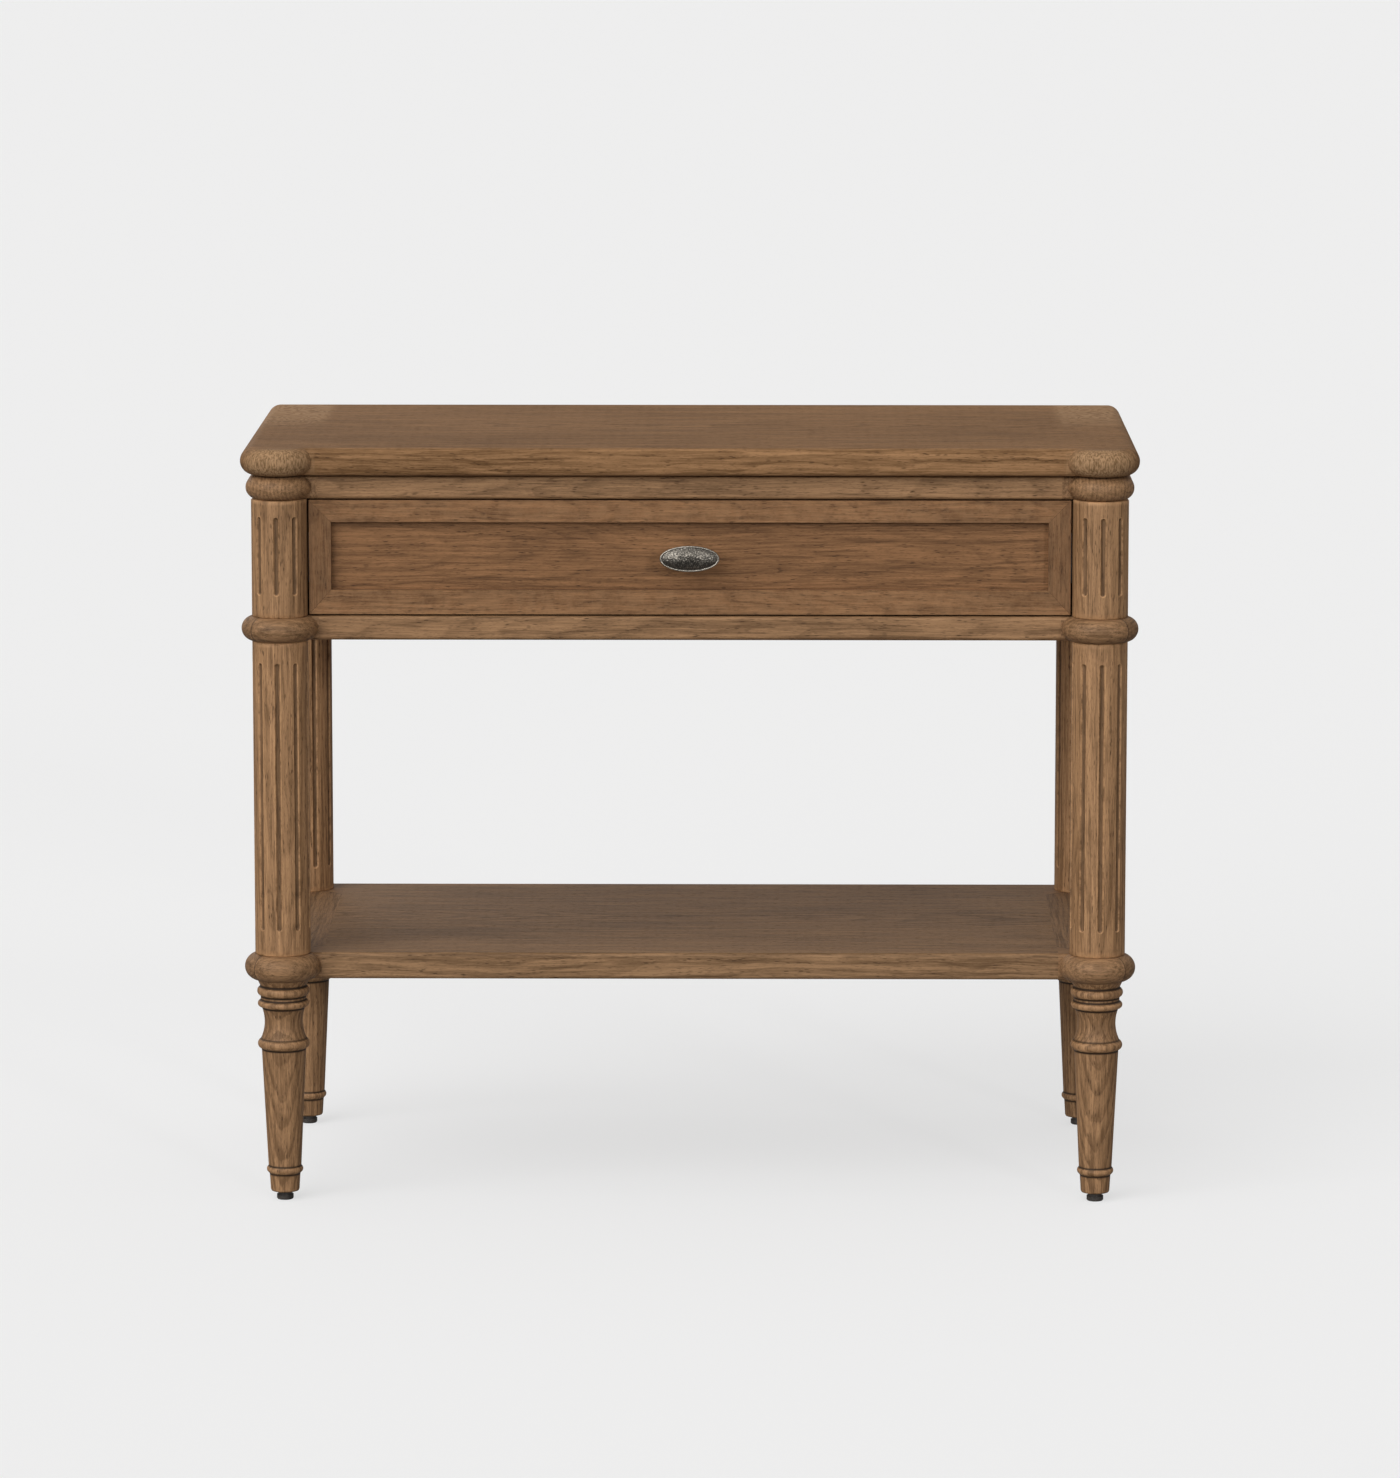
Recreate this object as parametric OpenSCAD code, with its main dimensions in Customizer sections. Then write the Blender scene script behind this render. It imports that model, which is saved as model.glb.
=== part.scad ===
// Side table with one drawer, an open shelf and four fluted columns on turned feet.
// Millimetres. X is the width, Y runs from the front (-) to the back (+), Z is up.
// The origin is on the floor, under the middle of the table.

/* [Overall] */
// Width over the rounded corners
table_w = 804; // [720:1:960]
// Depth over the rounded corners
table_d = 404; // [390:1:460]
// Height of the top face above the floor
table_h = 686.5; // [660:0.5:740]

/* [Boards] */
// Thickness of the top
top_t = 24.5; // [22:0.5:28]
// Shadow line between the top and the upper frame
shadow_gap = 1; // [0.5:0.5:3]
// Thickness of the upper frame, just below the top
upper_t = 21; // [18:0.5:24]
// Thickness of the middle frame, under the drawer
mid_t = 22; // [20:0.5:26]
// Thickness of the shelf
shelf_t = 24; // [20:0.5:28]
// Radius that eases the straight front edges
edge_r = 3.5; // [1:0.5:6]

/* [Heights] */
// Clear height of the drawer opening
opening_h = 105.6; // [100:0.1:130]
// Height of the shelf's upper face
shelf_z = 227.3; // [215:0.1:260]

/* [Legs] */
// Radius of the rounded corners of the top, the middle frame and the shelf
ring_r = 34.5; // [33:0.5:38]
// Radius of the rounded corners of the upper frame
upper_ear_r = 29.75; // [28:0.25:32]
// Radius of the columns
column_r = 25; // [22:0.5:27]
// Number of flutes round a whole column
flute_count = 9; // [6:1:12]
// Width of a flute
flute_w = 5; // [3:0.5:6]
// Depth of a flute
flute_depth = 2; // [1:0.25:2.5]
// Height of the floor glides
glide_h = 8; // [6:1:12]

/* [Drawer] */
// Distance from a leg's axis to the drawer opening
opening_inset = 25; // [25:0.5:50]
// Gap at each side of the drawer front
side_gap = 1.5; // [1:0.5:3]
// Gap above the drawer front
top_gap = 1.2; // [1:0.2:3]
// Gap below the drawer front
bottom_gap = 1.4; // [1:0.2:3]
// Width of the drawer front's upright frame pieces
stile_w = 20; // [15:0.5:26]
// Height of the drawer front's upper frame piece
rail_top_h = 20; // [15:0.5:26]
// Height of the drawer front's lower frame piece
rail_bottom_h = 22; // [15:0.5:26]
// Depth of the panel behind the frame's face
panel_recess = 8; // [4:0.5:9]
// Length of the drawer slides
slide_l = 300; // [250:10:300]
// Width of the oval knob
knob_w = 53.6; // [40:0.2:60]
// Height of the oval knob
knob_h = 23.5; // [18:0.5:30]

/* [Hidden] */

$fn = 64;
eps = 0.01;
LEFT = -1;
RIGHT = 1;
FRONT = -1;
BACK = 1;

oak = [0.49, 0.37, 0.26];
oak_end = [0.45, 0.34, 0.25];
drawer_oak = [0.66, 0.53, 0.38];
steel = [0.72, 0.73, 0.74];
pewter = [0.36, 0.34, 0.32];
dark_nylon = [0.16, 0.14, 0.13];

// Levels
top_z = table_h - top_t;
upper_z = top_z - shadow_gap - upper_t;
mid_top_z = upper_z - opening_h;
mid_z = mid_top_z - mid_t;
shelf_low_z = shelf_z - shelf_t;

// Plan
half_w = table_w / 2;
half_d = table_d / 2;
leg_x = half_w - ring_r;
leg_y = half_d - ring_r;
front_y = -(leg_y + 2.5);
side_x = leg_x + 2.5;
top_front_y = -(half_d - 18);
upper_front_y = -(leg_y + 5.5);
upper_half_w = leg_x + upper_ear_r;
upper_half_d = leg_y + upper_ear_r;
joint_x = leg_x - ring_r - 0.5;
top_round_low = 4;
top_round_high = 9;

// Joinery
tongue_t = 8;
tongue_l = 10;
tongue_setback = 24;
rail_w = 54;
rod_r = 4;
fit = 0.05;
cope = 0.1;
rod_low_z = 110;
rod_top_z = table_h - top_t - 3;
nut_h = 6.5;
nut_flats = 13;
nut_room_r = 9;
screw_r = 2;
screw_head_r = 4;
screw_head_h = 3;
top_screw_bite = 14;
top_screw_x = [-290, -97, 97, 290];
rail_tongue_setback = 15;
rail_y = [upper_front_y + rail_w / 2, upper_half_d - rail_w / 2];

// Drawer storey
opening_x = leg_x - opening_inset;
apron_t = 19;
apron_x = leg_x + 0.5;
batten_t = apron_x - apron_t - opening_x;
stile_depth = 19;
stile_y = -leg_y + 10;
back_apron_y = leg_y - 7.5;
back_apron_t = 18;
batten_h = 50;
dust_t = 6;
dust_groove = 8;

// Drawer
front_t = 19;
front_x = opening_x - side_gap;
front_low_z = mid_top_z + bottom_gap;
front_top_z = upper_z - top_gap;
front_back_y = front_y + front_t;
panel_tongue = 6;
panel_tongue_t = 6;
slide_room = 13;
box_x = opening_x - slide_room;
box_t = 12;
box_lift = 11.5;
box_h = 80;
box_low_z = mid_top_z + box_lift;
box_top_z = box_low_z + box_h;
box_back_y = slide_l / 2 - 10;
bottom_t = 6;
bottom_lift = 6;
bottom_z = box_low_z + bottom_lift;
bottom_groove = 5;
front_screw_x = 200;
front_screw_l = 18;
front_screw_rise = 18;

// Slides: three nested steel channels a side
slide_lift = 50;
slide_z = mid_top_z + slide_lift;
slide_plate = 1.2;
slide_y = front_back_y + 1;
channel_outer = [45, 11];
channel_middle = [34, 6.5];
middle_set_in = 4;
channel_inner = [24, 6.5];
slide_outer_screw_y = [-120, 0, 120];
slide_inner_screw_y = [-110, 100];
slide_screw_r = 1.75;
slide_screw_head_r = 3.5;
slide_screw_head_h = 1.5;
slide_screw_l = 9;

// Knob
knob_z = (front_low_z + rail_bottom_h + front_top_z - rail_top_h) / 2;
knob_neck_l = 19;
knob_screw_y = front_back_y + box_t;

// Flutes: a round cutter stands just outside the column
flute_r = (flute_w * flute_w / 4 + flute_depth * flute_depth) / (2 * flute_depth);
flute_axis_r = column_r + flute_r - flute_depth;
flute_step = 360 / flute_count;
flute_first = -3;
lower_flute_margin = [23, 18.5];
upper_flute_margin = [20.5, 14.5];

// ---------- shared shapes ----------

// Draws the left-hand shape on either side
module on_side(side) {
    mirror([side == RIGHT ? 1 : 0, 0, 0]) children();
}

// Puts a front left leg piece at any of the four legs
module at_leg(side, end) {
    mirror([side == RIGHT ? 1 : 0, 0, 0])
        mirror([0, end == BACK ? 1 : 0, 0])
            translate([-leg_x, -leg_y, 0]) children();
}

// Round corner of a board, with a fully rounded edge
module round_corner(r, t) {
    rotate_extrude() {
        square([r - t / 2, t]);
        translate([r - t / 2, t / 2]) circle(d = t);
    }
}

// Cross-section of a board from y0 to y1, eased at the front
module board_outline(y0, y1, t, low, high, round_back) {
    m = max(low, high);
    y_end = round_back ? y1 - t / 2 : y1;
    translate([y0 + m, 0]) square([y_end - y0 - m, t]);
    translate([y0, low]) square([m, t - low - high]);
    if (m > low) translate([y0 + low, 0]) square([m - low, low]);
    if (m > high) translate([y0 + high, t - high]) square([m - high, high]);
    translate([y0 + low, low]) circle(r = low);
    translate([y0 + high, t - high]) circle(r = high);
    if (round_back) translate([y_end, t / 2]) circle(d = t);
}

// Board along X with the cross-section above
module board_x(x0, x1, y0, y1, t, low = edge_r, high = edge_r, round_back = false) {
    translate([x0, 0, 0]) rotate([90, 0, 90]) linear_extrude(x1 - x0)
        board_outline(y0, y1, t, low, high, round_back);
}

module box(x0, x1, y0, y1, z0, z1) {
    translate([x0, y0, z0]) cube([x1 - x0, y1 - y0, z1 - z0]);
}

module hole(x, y, z, h, r) {
    translate([x, y, z]) cylinder(r = r, h = h);
}

// Tongue at both ends of a board that meets the end boards
module tongues(y0, y1, t) {
    z = (t - tongue_t) / 2;
    box(-joint_x - tongue_l, joint_x + tongue_l, y0, y1, z, z + tongue_t);
}

// Tongues of the two rails of a frame that runs from y0 to y1
module rail_tongues(y0, y1, t) {
    tongues(y0 + rail_tongue_setback, y0 + rail_w - rail_tongue_setback, t);
    tongues(y1 - rail_w + rail_tongue_setback, y1 - rail_tongue_setback, t);
}

// End board of the top or upper frame: round front corner, square rounded back
module flush_end(ear_r, t, y_front, low, high) {
    x_out = leg_x + ear_r;
    y_out = leg_y + ear_r;
    translate([-leg_x, -leg_y, 0]) round_corner(ear_r, t);
    translate([0, y_out - t / 2, 0]) rotate([90, 0, 0]) linear_extrude(leg_y + y_out - t / 2) {
        translate([-x_out + t / 2, t / 2]) circle(d = t);
        translate([-x_out + t / 2, 0]) square([x_out - t / 2 - joint_x, t]);
    }
    translate([-x_out + t / 2, 0, 0]) rotate([90, 0, 90]) linear_extrude(x_out - t / 2 - joint_x) {
        translate([y_out - t / 2, t / 2]) circle(d = t);
        translate([y_out - t, 0]) square([t / 2, t]);
    }
    translate([-x_out + t / 2, y_out - t / 2, t / 2]) sphere(d = t);
    board_x(-leg_x, -joint_x, y_front, -leg_y + t, t, low, high);
}

// End board of the middle frame or shelf: a ring round each column
module ringed_end(t) {
    for (end = [FRONT, BACK])
        translate([-leg_x, end * leg_y, 0]) round_corner(ring_r, t);
    board_x(-leg_x, -joint_x, front_y, half_d, t, round_back = true);
    translate([0, leg_y, 0]) rotate([90, 0, 0]) linear_extrude(2 * leg_y)
        board_outline(-side_x, -leg_x + t, t, edge_r, edge_r, false);
}

// Rod hole through both corners of a left end board
module rod_holes(z0, z1) {
    for (end = [FRONT, BACK])
        hole(-leg_x, end * leg_y, z0, z1 - z0, rod_r + fit);
}

module flute_cutter(h) {
    rotate_extrude() intersection() {
        union() {
            translate([0, flute_r]) square([flute_r, h - 2 * flute_r]);
            translate([0, flute_r]) circle(r = flute_r);
            translate([0, h - flute_r]) circle(r = flute_r);
        }
        square([flute_r, h]);
    }
}

// Column between two levels, fluted at the given places round it
module column(z0, z1, margin, places) {
    color(oak) difference() {
        hole(0, 0, z0, z1 - z0, column_r);
        hole(0, 0, z0 - 1, z1 - z0 + 2, rod_r + fit);
        for (i = places)
            rotate([0, 0, flute_first + i * flute_step])
                translate([0, -flute_axis_r, z0 + margin[0]])
                    flute_cutter(z1 - z0 - margin[0] - margin[1]);
    }
}

// Room for the columns in the boards fitted round them
module column_room() {
    for (side = [LEFT, RIGHT], end = [FRONT, BACK])
        hole(side * leg_x, end * leg_y, mid_z, table_h - mid_z, column_r + cope);
}

// Wood screw pointing up, with its head's underside at z = 0
module wood_screw(l, r, head_r, head_h) {
    cylinder(r = r, h = l);
    translate([0, 0, -head_h]) cylinder(r1 = head_r, r2 = head_r - 0.6, h = head_h);
}

// ---------- top ----------

module top_screw_holes() {
    for (x = top_screw_x, y = rail_y)
        hole(x, y, upper_z - eps, top_z + top_screw_bite + 1 - upper_z, screw_r + fit);
}

module top_panel() {
    color(oak) difference() {
        translate([0, 0, top_z]) {
            board_x(-joint_x, joint_x, top_front_y, half_d, top_t,
                    top_round_low, top_round_high, true);
            tongues(top_front_y + tongue_setback, half_d - tongue_setback, top_t);
        }
        top_screw_holes();
    }
}

module top_end(side) {
    color(oak_end) on_side(side) difference() {
        translate([0, 0, top_z])
            flush_end(ring_r, top_t, top_front_y, top_round_low, top_round_high);
        translate([0, 0, top_z])
            tongues(top_front_y + tongue_setback, half_d - tongue_setback, top_t);
    }
}

module top_screws() {
    color(steel)
        for (x = top_screw_x, y = rail_y)
            translate([x, y, upper_z + screw_head_h])
                wood_screw(top_z + top_screw_bite - upper_z - screw_head_h,
                           screw_r, screw_head_r, screw_head_h);
}

// ---------- upper frame ----------

module upper_rail(end) {
    y0 = end == FRONT ? upper_front_y : upper_half_d - rail_w;
    y1 = y0 + rail_w;
    land = 12;
    color(oak) difference() {
        union() {
            translate([0, 0, upper_z]) {
                if (end == FRONT) board_x(-joint_x, joint_x, y0, y1, upper_t);
                else board_x(-joint_x, joint_x, y0, y1, upper_t, round_back = true);
                tongues(y0 + rail_tongue_setback, y1 - rail_tongue_setback, upper_t);
            }
            box(-joint_x, joint_x, y0 + land, y1 - land, upper_z + upper_t - 1, top_z);
        }
        top_screw_holes();
        for (x = top_screw_x)
            hole(x, y0 + rail_w / 2, upper_z - 1, screw_head_h + 1, screw_head_r + fit);
    }
}

module upper_end(side) {
    land = 14;
    color(oak_end) on_side(side) difference() {
        union() {
            translate([0, 0, upper_z])
                flush_end(upper_ear_r, upper_t, upper_front_y, edge_r, edge_r);
            box(-upper_half_w + land, -joint_x, -leg_y, upper_half_d - land,
                upper_z + upper_t - 1, top_z);
        }
        translate([0, 0, upper_z]) {
            rail_tongues(upper_front_y, upper_half_d, upper_t);
        }
        rod_holes(upper_z - 1, top_z + 1);
        for (end = [FRONT, BACK])
            hole(-leg_x, end * leg_y, rod_top_z - nut_h - 1, nut_h + 10, nut_room_r);
    }
}

// ---------- drawer storey ----------

// Flutes only where the column stands clear of the aprons
module upper_column(side, end) {
    at_leg(side, end) column(mid_top_z, upper_z, upper_flute_margin, [-2, -1, 0, 1]);
}

module side_apron(side) {
    color(oak) on_side(side) difference() {
        box(-apron_x, -apron_x + apron_t, -leg_y, leg_y, mid_top_z, upper_z);
        column_room();
        slide_outer_bores();
    }
}

module back_apron() {
    color(oak) difference() {
        box(-leg_x, leg_x, back_apron_y, back_apron_y + back_apron_t, mid_top_z, upper_z);
        column_room();
    }
}

// Upright strip behind a front column that lines the drawer opening
module opening_stile(side) {
    color(oak) on_side(side) difference() {
        box(-opening_x - batten_t, -opening_x, stile_y, stile_y + stile_depth,
            mid_top_z, upper_z);
        column_room();
    }
}

module slide_batten(side) {
    color(drawer_oak) on_side(side) difference() {
        box(-opening_x - batten_t, -opening_x, stile_y + stile_depth, back_apron_y,
            slide_z - batten_h / 2, slide_z + batten_h / 2);
        column_room();
        slide_outer_bores();
    }
}

// ---------- middle frame ----------

module dust_panel_room() {
    box(-joint_x - dust_groove, joint_x + dust_groove,
        front_y + rail_w - dust_groove, half_d - rail_w + dust_groove,
        mid_z + (mid_t - dust_t) / 2, mid_z + (mid_t + dust_t) / 2);
}

module mid_rail(end) {
    y0 = end == FRONT ? front_y : half_d - rail_w;
    color(oak) difference() {
        translate([0, 0, mid_z]) {
            if (end == FRONT) board_x(-joint_x, joint_x, y0, y0 + rail_w, mid_t);
            else board_x(-joint_x, joint_x, y0, y0 + rail_w, mid_t, round_back = true);
            tongues(y0 + rail_tongue_setback, y0 + rail_w - rail_tongue_setback, mid_t);
        }
        dust_panel_room();
    }
}

module mid_end(side) {
    color(oak_end) on_side(side) difference() {
        translate([0, 0, mid_z]) ringed_end(mid_t);
        translate([0, 0, mid_z]) {
            rail_tongues(front_y, half_d, mid_t);
        }
        dust_panel_room();
        rod_holes(mid_z - 1, mid_top_z + 1);
    }
}

module dust_panel() {
    color(drawer_oak) dust_panel_room();
}

// ---------- columns, shelf and feet ----------

module lower_column(side, end) {
    at_leg(side, end)
        column(shelf_z, mid_z, lower_flute_margin, [0 : flute_count - 1]);
}

module shelf_panel() {
    color(oak) translate([0, 0, shelf_low_z]) {
        board_x(-joint_x, joint_x, front_y, half_d, shelf_t, round_back = true);
        tongues(front_y + tongue_setback, half_d - tongue_setback, shelf_t);
    }
}

module shelf_end(side) {
    color(oak_end) on_side(side) difference() {
        translate([0, 0, shelf_low_z]) ringed_end(shelf_t);
        translate([0, 0, shelf_low_z])
            tongues(front_y + tongue_setback, half_d - tongue_setback, shelf_t);
        rod_holes(shelf_low_z - 1, shelf_z + 1);
    }
}

// Half outline of a turned foot, measured down from the shelf
module foot_outline() {
    h = shelf_low_z - glide_h;
    cuff_top = 24 - glide_h;
    taper_top = h - 64.5;
    taper_r = 20;
    neck = h - 39;
    cove_r = 36.4;
    difference() {
        union() {
            polygon([[0, 0], [12, 0], [12.9, 1.5], [13.9, cuff_top], [14.5, cuff_top],
                     [taper_r, taper_top], [0, taper_top]]);
            translate([0, taper_top]) square([taper_r, 8]);
            translate([0, neck - 19]) square([23, 34]);
            translate([0, h - 24]) square([20.6, 20]);
            polygon([[0, h - 6], [20.8, h - 6], [23.2, h - 1], [23.2, h], [0, h]]);
        }
        translate([17.2 + cove_r, neck]) circle(r = cove_r, $fn = 120);
    }
    translate([13, cuff_top + 4]) circle(r = 3.5);
    translate([18.8, h - 59.2]) circle(r = 4.7);
    translate([20.1, h - 22.3]) circle(r = 3.2);
    translate([19, h - 10.8]) circle(r = 4.7);
}

module foot(side, end) {
    color(oak) at_leg(side, end) difference() {
        translate([0, 0, glide_h]) rotate_extrude() foot_outline();
        hole(0, 0, rod_low_z - 1, shelf_low_z - rod_low_z + 2, rod_r + fit);
        hole(0, 0, glide_h - 1, 22, 3 + fit);
    }
}

module floor_glides() {
    color(dark_nylon)
        for (side = [LEFT, RIGHT], end = [FRONT, BACK])
            at_leg(side, end) {
                cylinder(r1 = 6.8, r2 = 7.6, h = 1);
                hole(0, 0, 1, 3.5, 7.6);
                hole(0, 0, 4.5, glide_h - 4.5, 6.4);
                hole(0, 0, glide_h, 20, 3);
            }
}

// Threaded rods that draw the feet, shelf, columns and frames together
module tie_rods() {
    color(steel)
        for (side = [LEFT, RIGHT], end = [FRONT, BACK])
            at_leg(side, end) {
                hole(0, 0, rod_low_z, rod_top_z - rod_low_z, rod_r);
                difference() {
                    translate([0, 0, rod_top_z - nut_h - 1])
                        cylinder(r = nut_flats / 2 / cos(30), h = nut_h, $fn = 6);
                    hole(0, 0, rod_top_z - nut_h - 2, nut_h + 2, rod_r - eps);
                }
            }
}

// ---------- drawer slides ----------

// Steel channel along Y on the left: [height, depth], web on the side of dir
module channel(x_web, dir, size, y0, y1) {
    x_tip = x_web + dir * size[1];
    x_in = x_web + dir * slide_plate;
    z0 = slide_z - size[0] / 2;
    z1 = slide_z + size[0] / 2;
    box(min(x_web, x_in), max(x_web, x_in), y0, y1, z0, z1);
    box(min(x_web, x_tip), max(x_web, x_tip), y0, y1, z0, z0 + slide_plate);
    box(min(x_web, x_tip), max(x_web, x_tip), y0, y1, z1 - slide_plate, z1);
}

module slide_outer_bores() {
    for (y = slide_outer_screw_y)
        translate([-opening_x - slide_screw_l, y, slide_z]) rotate([0, 90, 0])
            cylinder(r = slide_screw_r + fit, h = 2 * slide_screw_l);
}

module slide_inner_bores() {
    for (y = slide_inner_screw_y)
        translate([-box_x - slide_screw_l, y, slide_z]) rotate([0, 90, 0])
            cylinder(r = slide_screw_r + fit, h = 2 * slide_screw_l + 1);
}

module slide_outer(side) {
    color(steel) on_side(side) difference() {
        channel(-opening_x, 1, channel_outer, slide_y, slide_y + slide_l);
        slide_outer_bores();
    }
}

module slide_middle(side) {
    color(steel) on_side(side)
        channel(-opening_x + middle_set_in, 1, channel_middle, slide_y + 2, slide_y + slide_l - 8);
}

module slide_inner(side) {
    color(steel) on_side(side) difference() {
        channel(-box_x, -1, channel_inner, slide_y, box_back_y);
        slide_inner_bores();
    }
}

// Screws turned to point along dir from the inner face of a slide channel
module slide_screws(x, dir, places) {
    for (side = [LEFT, RIGHT])
        on_side(side)
            for (y = places)
                translate([x, y, slide_z]) rotate([0, dir * 90, 0])
                    wood_screw(slide_screw_l - eps, slide_screw_r,
                               slide_screw_head_r, slide_screw_head_h);
}

module slide_outer_screws() {
    color(steel) slide_screws(-opening_x + slide_plate, -1, slide_outer_screw_y);
}

module slide_inner_screws() {
    color(steel) slide_screws(-box_x - slide_plate, 1, slide_inner_screw_y);
}

// ---------- drawer ----------

// Raised edge of the panel that fits the grooves of its frame
module panel_rim(extra = 0) {
    y_mid = front_back_y - panel_tongue_t / 2 - 2;
    box(-front_x + stile_w - panel_tongue, front_x - stile_w + panel_tongue,
        y_mid - panel_tongue_t / 2, y_mid + panel_tongue_t / 2,
        front_low_z + rail_bottom_h - panel_tongue - extra,
        front_top_z - rail_top_h + panel_tongue + extra);
}

// Mitred frame piece: an outline in X and Z, as thick as the drawer front
module front_piece(points) {
    color(oak) difference() {
        translate([0, front_back_y, 0]) rotate([90, 0, 0]) linear_extrude(front_t)
            polygon(points);
        panel_rim();
    }
}

module drawer_rail_top() {
    front_piece([[-front_x, front_top_z], [front_x, front_top_z],
                 [front_x - stile_w, front_top_z - rail_top_h],
                 [-front_x + stile_w, front_top_z - rail_top_h]]);
}

module drawer_rail_bottom() {
    front_piece([[-front_x, front_low_z], [front_x, front_low_z],
                 [front_x - stile_w, front_low_z + rail_bottom_h],
                 [-front_x + stile_w, front_low_z + rail_bottom_h]]);
}

module drawer_stile(side) {
    on_side(side)
        front_piece([[-front_x, front_low_z], [-front_x, front_top_z],
                     [-front_x + stile_w, front_top_z - rail_top_h],
                     [-front_x + stile_w, front_low_z + rail_bottom_h]]);
}

module front_screw_bores(r) {
    for (x = [-front_screw_x, front_screw_x], z = [knob_z - front_screw_rise, knob_z + front_screw_rise])
        translate([x, front_back_y + box_t + 1, z]) rotate([90, 0, 0])
            cylinder(r = r, h = front_screw_l + 2);
}

module knob_screw_bore() {
    translate([0, knob_screw_y + 1, knob_z]) rotate([90, 0, 0])
        cylinder(r = screw_r + fit, h = 36);
}

module drawer_panel() {
    color(oak) difference() {
        union() {
            box(-front_x + stile_w, front_x - stile_w, front_y + panel_recess, front_back_y,
                front_low_z + rail_bottom_h, front_top_z - rail_top_h);
            panel_rim();
        }
        front_screw_bores(screw_r + fit);
        knob_screw_bore();
    }
}

module bottom_room() {
    box(-box_x + box_t - bottom_groove, box_x - box_t + bottom_groove,
        front_back_y + box_t - bottom_groove, box_back_y - box_t + bottom_groove,
        bottom_z, bottom_z + bottom_t);
}

module drawer_box_front() {
    color(drawer_oak) difference() {
        box(-box_x + box_t, box_x - box_t, front_back_y, front_back_y + box_t,
            box_low_z, box_top_z);
        bottom_room();
        front_screw_bores(screw_r + fit);
        knob_screw_bore();
    }
}

module drawer_side(side) {
    color(drawer_oak) on_side(side) difference() {
        box(-box_x, -box_x + box_t, front_back_y, box_back_y, box_low_z, box_top_z);
        bottom_room();
        slide_inner_bores();
    }
}

module drawer_back() {
    color(drawer_oak) difference() {
        box(-box_x + box_t, box_x - box_t, box_back_y - box_t, box_back_y,
            box_low_z, box_top_z - 8);
        bottom_room();
    }
}

module drawer_bottom() {
    color(drawer_oak) bottom_room();
}

module drawer_front_screws() {
    color(steel)
        for (x = [-front_screw_x, front_screw_x],
             z = [knob_z - front_screw_rise, knob_z + front_screw_rise])
            translate([x, front_back_y + box_t, z]) rotate([90, 0, 0])
                wood_screw(front_screw_l, screw_r, screw_head_r, 2);
}

// Oval slice of the knob's head, a given distance inside its rim
module knob_slice(inset, z) {
    k = 1 - 2 * inset / knob_w;
    translate([0, 0, z]) linear_extrude(0.1)
        scale([knob_w / 2 * k, knob_h / 2 * k]) circle(r = 1, $fn = 40);
}

// Head of the knob: a thin rim, a bevel and a slightly crowned face
module knob_head() {
    hull() {
        knob_slice(14, 0);
        knob_slice(1.2, 4.2);
        knob_slice(0, 5.6);
        knob_slice(0.4, 7.2);
        knob_slice(3.3, 9);
        knob_slice(12, 10.5);
        knob_slice(21, 11.1);
    }
}

module knob() {
    color(pewter) translate([0, front_y + panel_recess, knob_z]) rotate([90, 0, 0])
        difference() {
            union() {
                cylinder(r1 = 8.5, r2 = 7, h = 2.5);
                cylinder(r = 5.5, h = knob_neck_l + 1);
                translate([0, 0, knob_neck_l]) knob_head();
            }
            translate([0, 0, -1]) cylinder(r = screw_r + fit, h = 16);
        }
}

module knob_screw() {
    color(steel) translate([0, knob_screw_y, knob_z]) rotate([90, 0, 0])
        wood_screw(box_t + front_t - panel_recess + 13, screw_r, screw_head_r, 2);
}

// ---------- nodes ----------

top_panel();
top_end(LEFT);  // top_end_left
top_end(RIGHT);  // top_end_right
upper_rail(FRONT);  // upper_rail_front
upper_rail(BACK);  // upper_rail_back
upper_end(LEFT);  // upper_end_left
upper_end(RIGHT);  // upper_end_right
upper_column(LEFT, FRONT);  // upper_column_front_left
upper_column(RIGHT, FRONT);  // upper_column_front_right
upper_column(LEFT, BACK);  // upper_column_back_left
upper_column(RIGHT, BACK);  // upper_column_back_right
side_apron(LEFT);  // side_apron_left
side_apron(RIGHT);  // side_apron_right
back_apron();
opening_stile(LEFT);  // opening_stile_left
opening_stile(RIGHT);  // opening_stile_right
slide_batten(LEFT);  // slide_batten_left
slide_batten(RIGHT);  // slide_batten_right
mid_rail(FRONT);  // mid_rail_front
mid_rail(BACK);  // mid_rail_back
mid_end(LEFT);  // mid_end_left
mid_end(RIGHT);  // mid_end_right
dust_panel();
lower_column(LEFT, FRONT);  // lower_column_front_left
lower_column(RIGHT, FRONT);  // lower_column_front_right
lower_column(LEFT, BACK);  // lower_column_back_left
lower_column(RIGHT, BACK);  // lower_column_back_right
shelf_panel();
shelf_end(LEFT);  // shelf_end_left
shelf_end(RIGHT);  // shelf_end_right
foot(LEFT, FRONT);  // foot_front_left
foot(RIGHT, FRONT);  // foot_front_right
foot(LEFT, BACK);  // foot_back_left
foot(RIGHT, BACK);  // foot_back_right
floor_glides();
tie_rods();
top_screws();
slide_outer(LEFT);  // slide_outer_left
slide_outer(RIGHT);  // slide_outer_right
slide_outer_screws();
slide_middle(LEFT);  // slide_middle_left
slide_middle(RIGHT);  // slide_middle_right
slide_inner(LEFT);  // slide_inner_left
slide_inner(RIGHT);  // slide_inner_right
slide_inner_screws();
drawer_rail_top();
drawer_rail_bottom();
drawer_stile(LEFT);  // drawer_stile_left
drawer_stile(RIGHT);  // drawer_stile_right
drawer_panel();
drawer_box_front();
drawer_side(LEFT);  // drawer_side_left
drawer_side(RIGHT);  // drawer_side_right
drawer_back();
drawer_bottom();
drawer_front_screws();
knob();
knob_screw();
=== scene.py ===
import math

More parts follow.
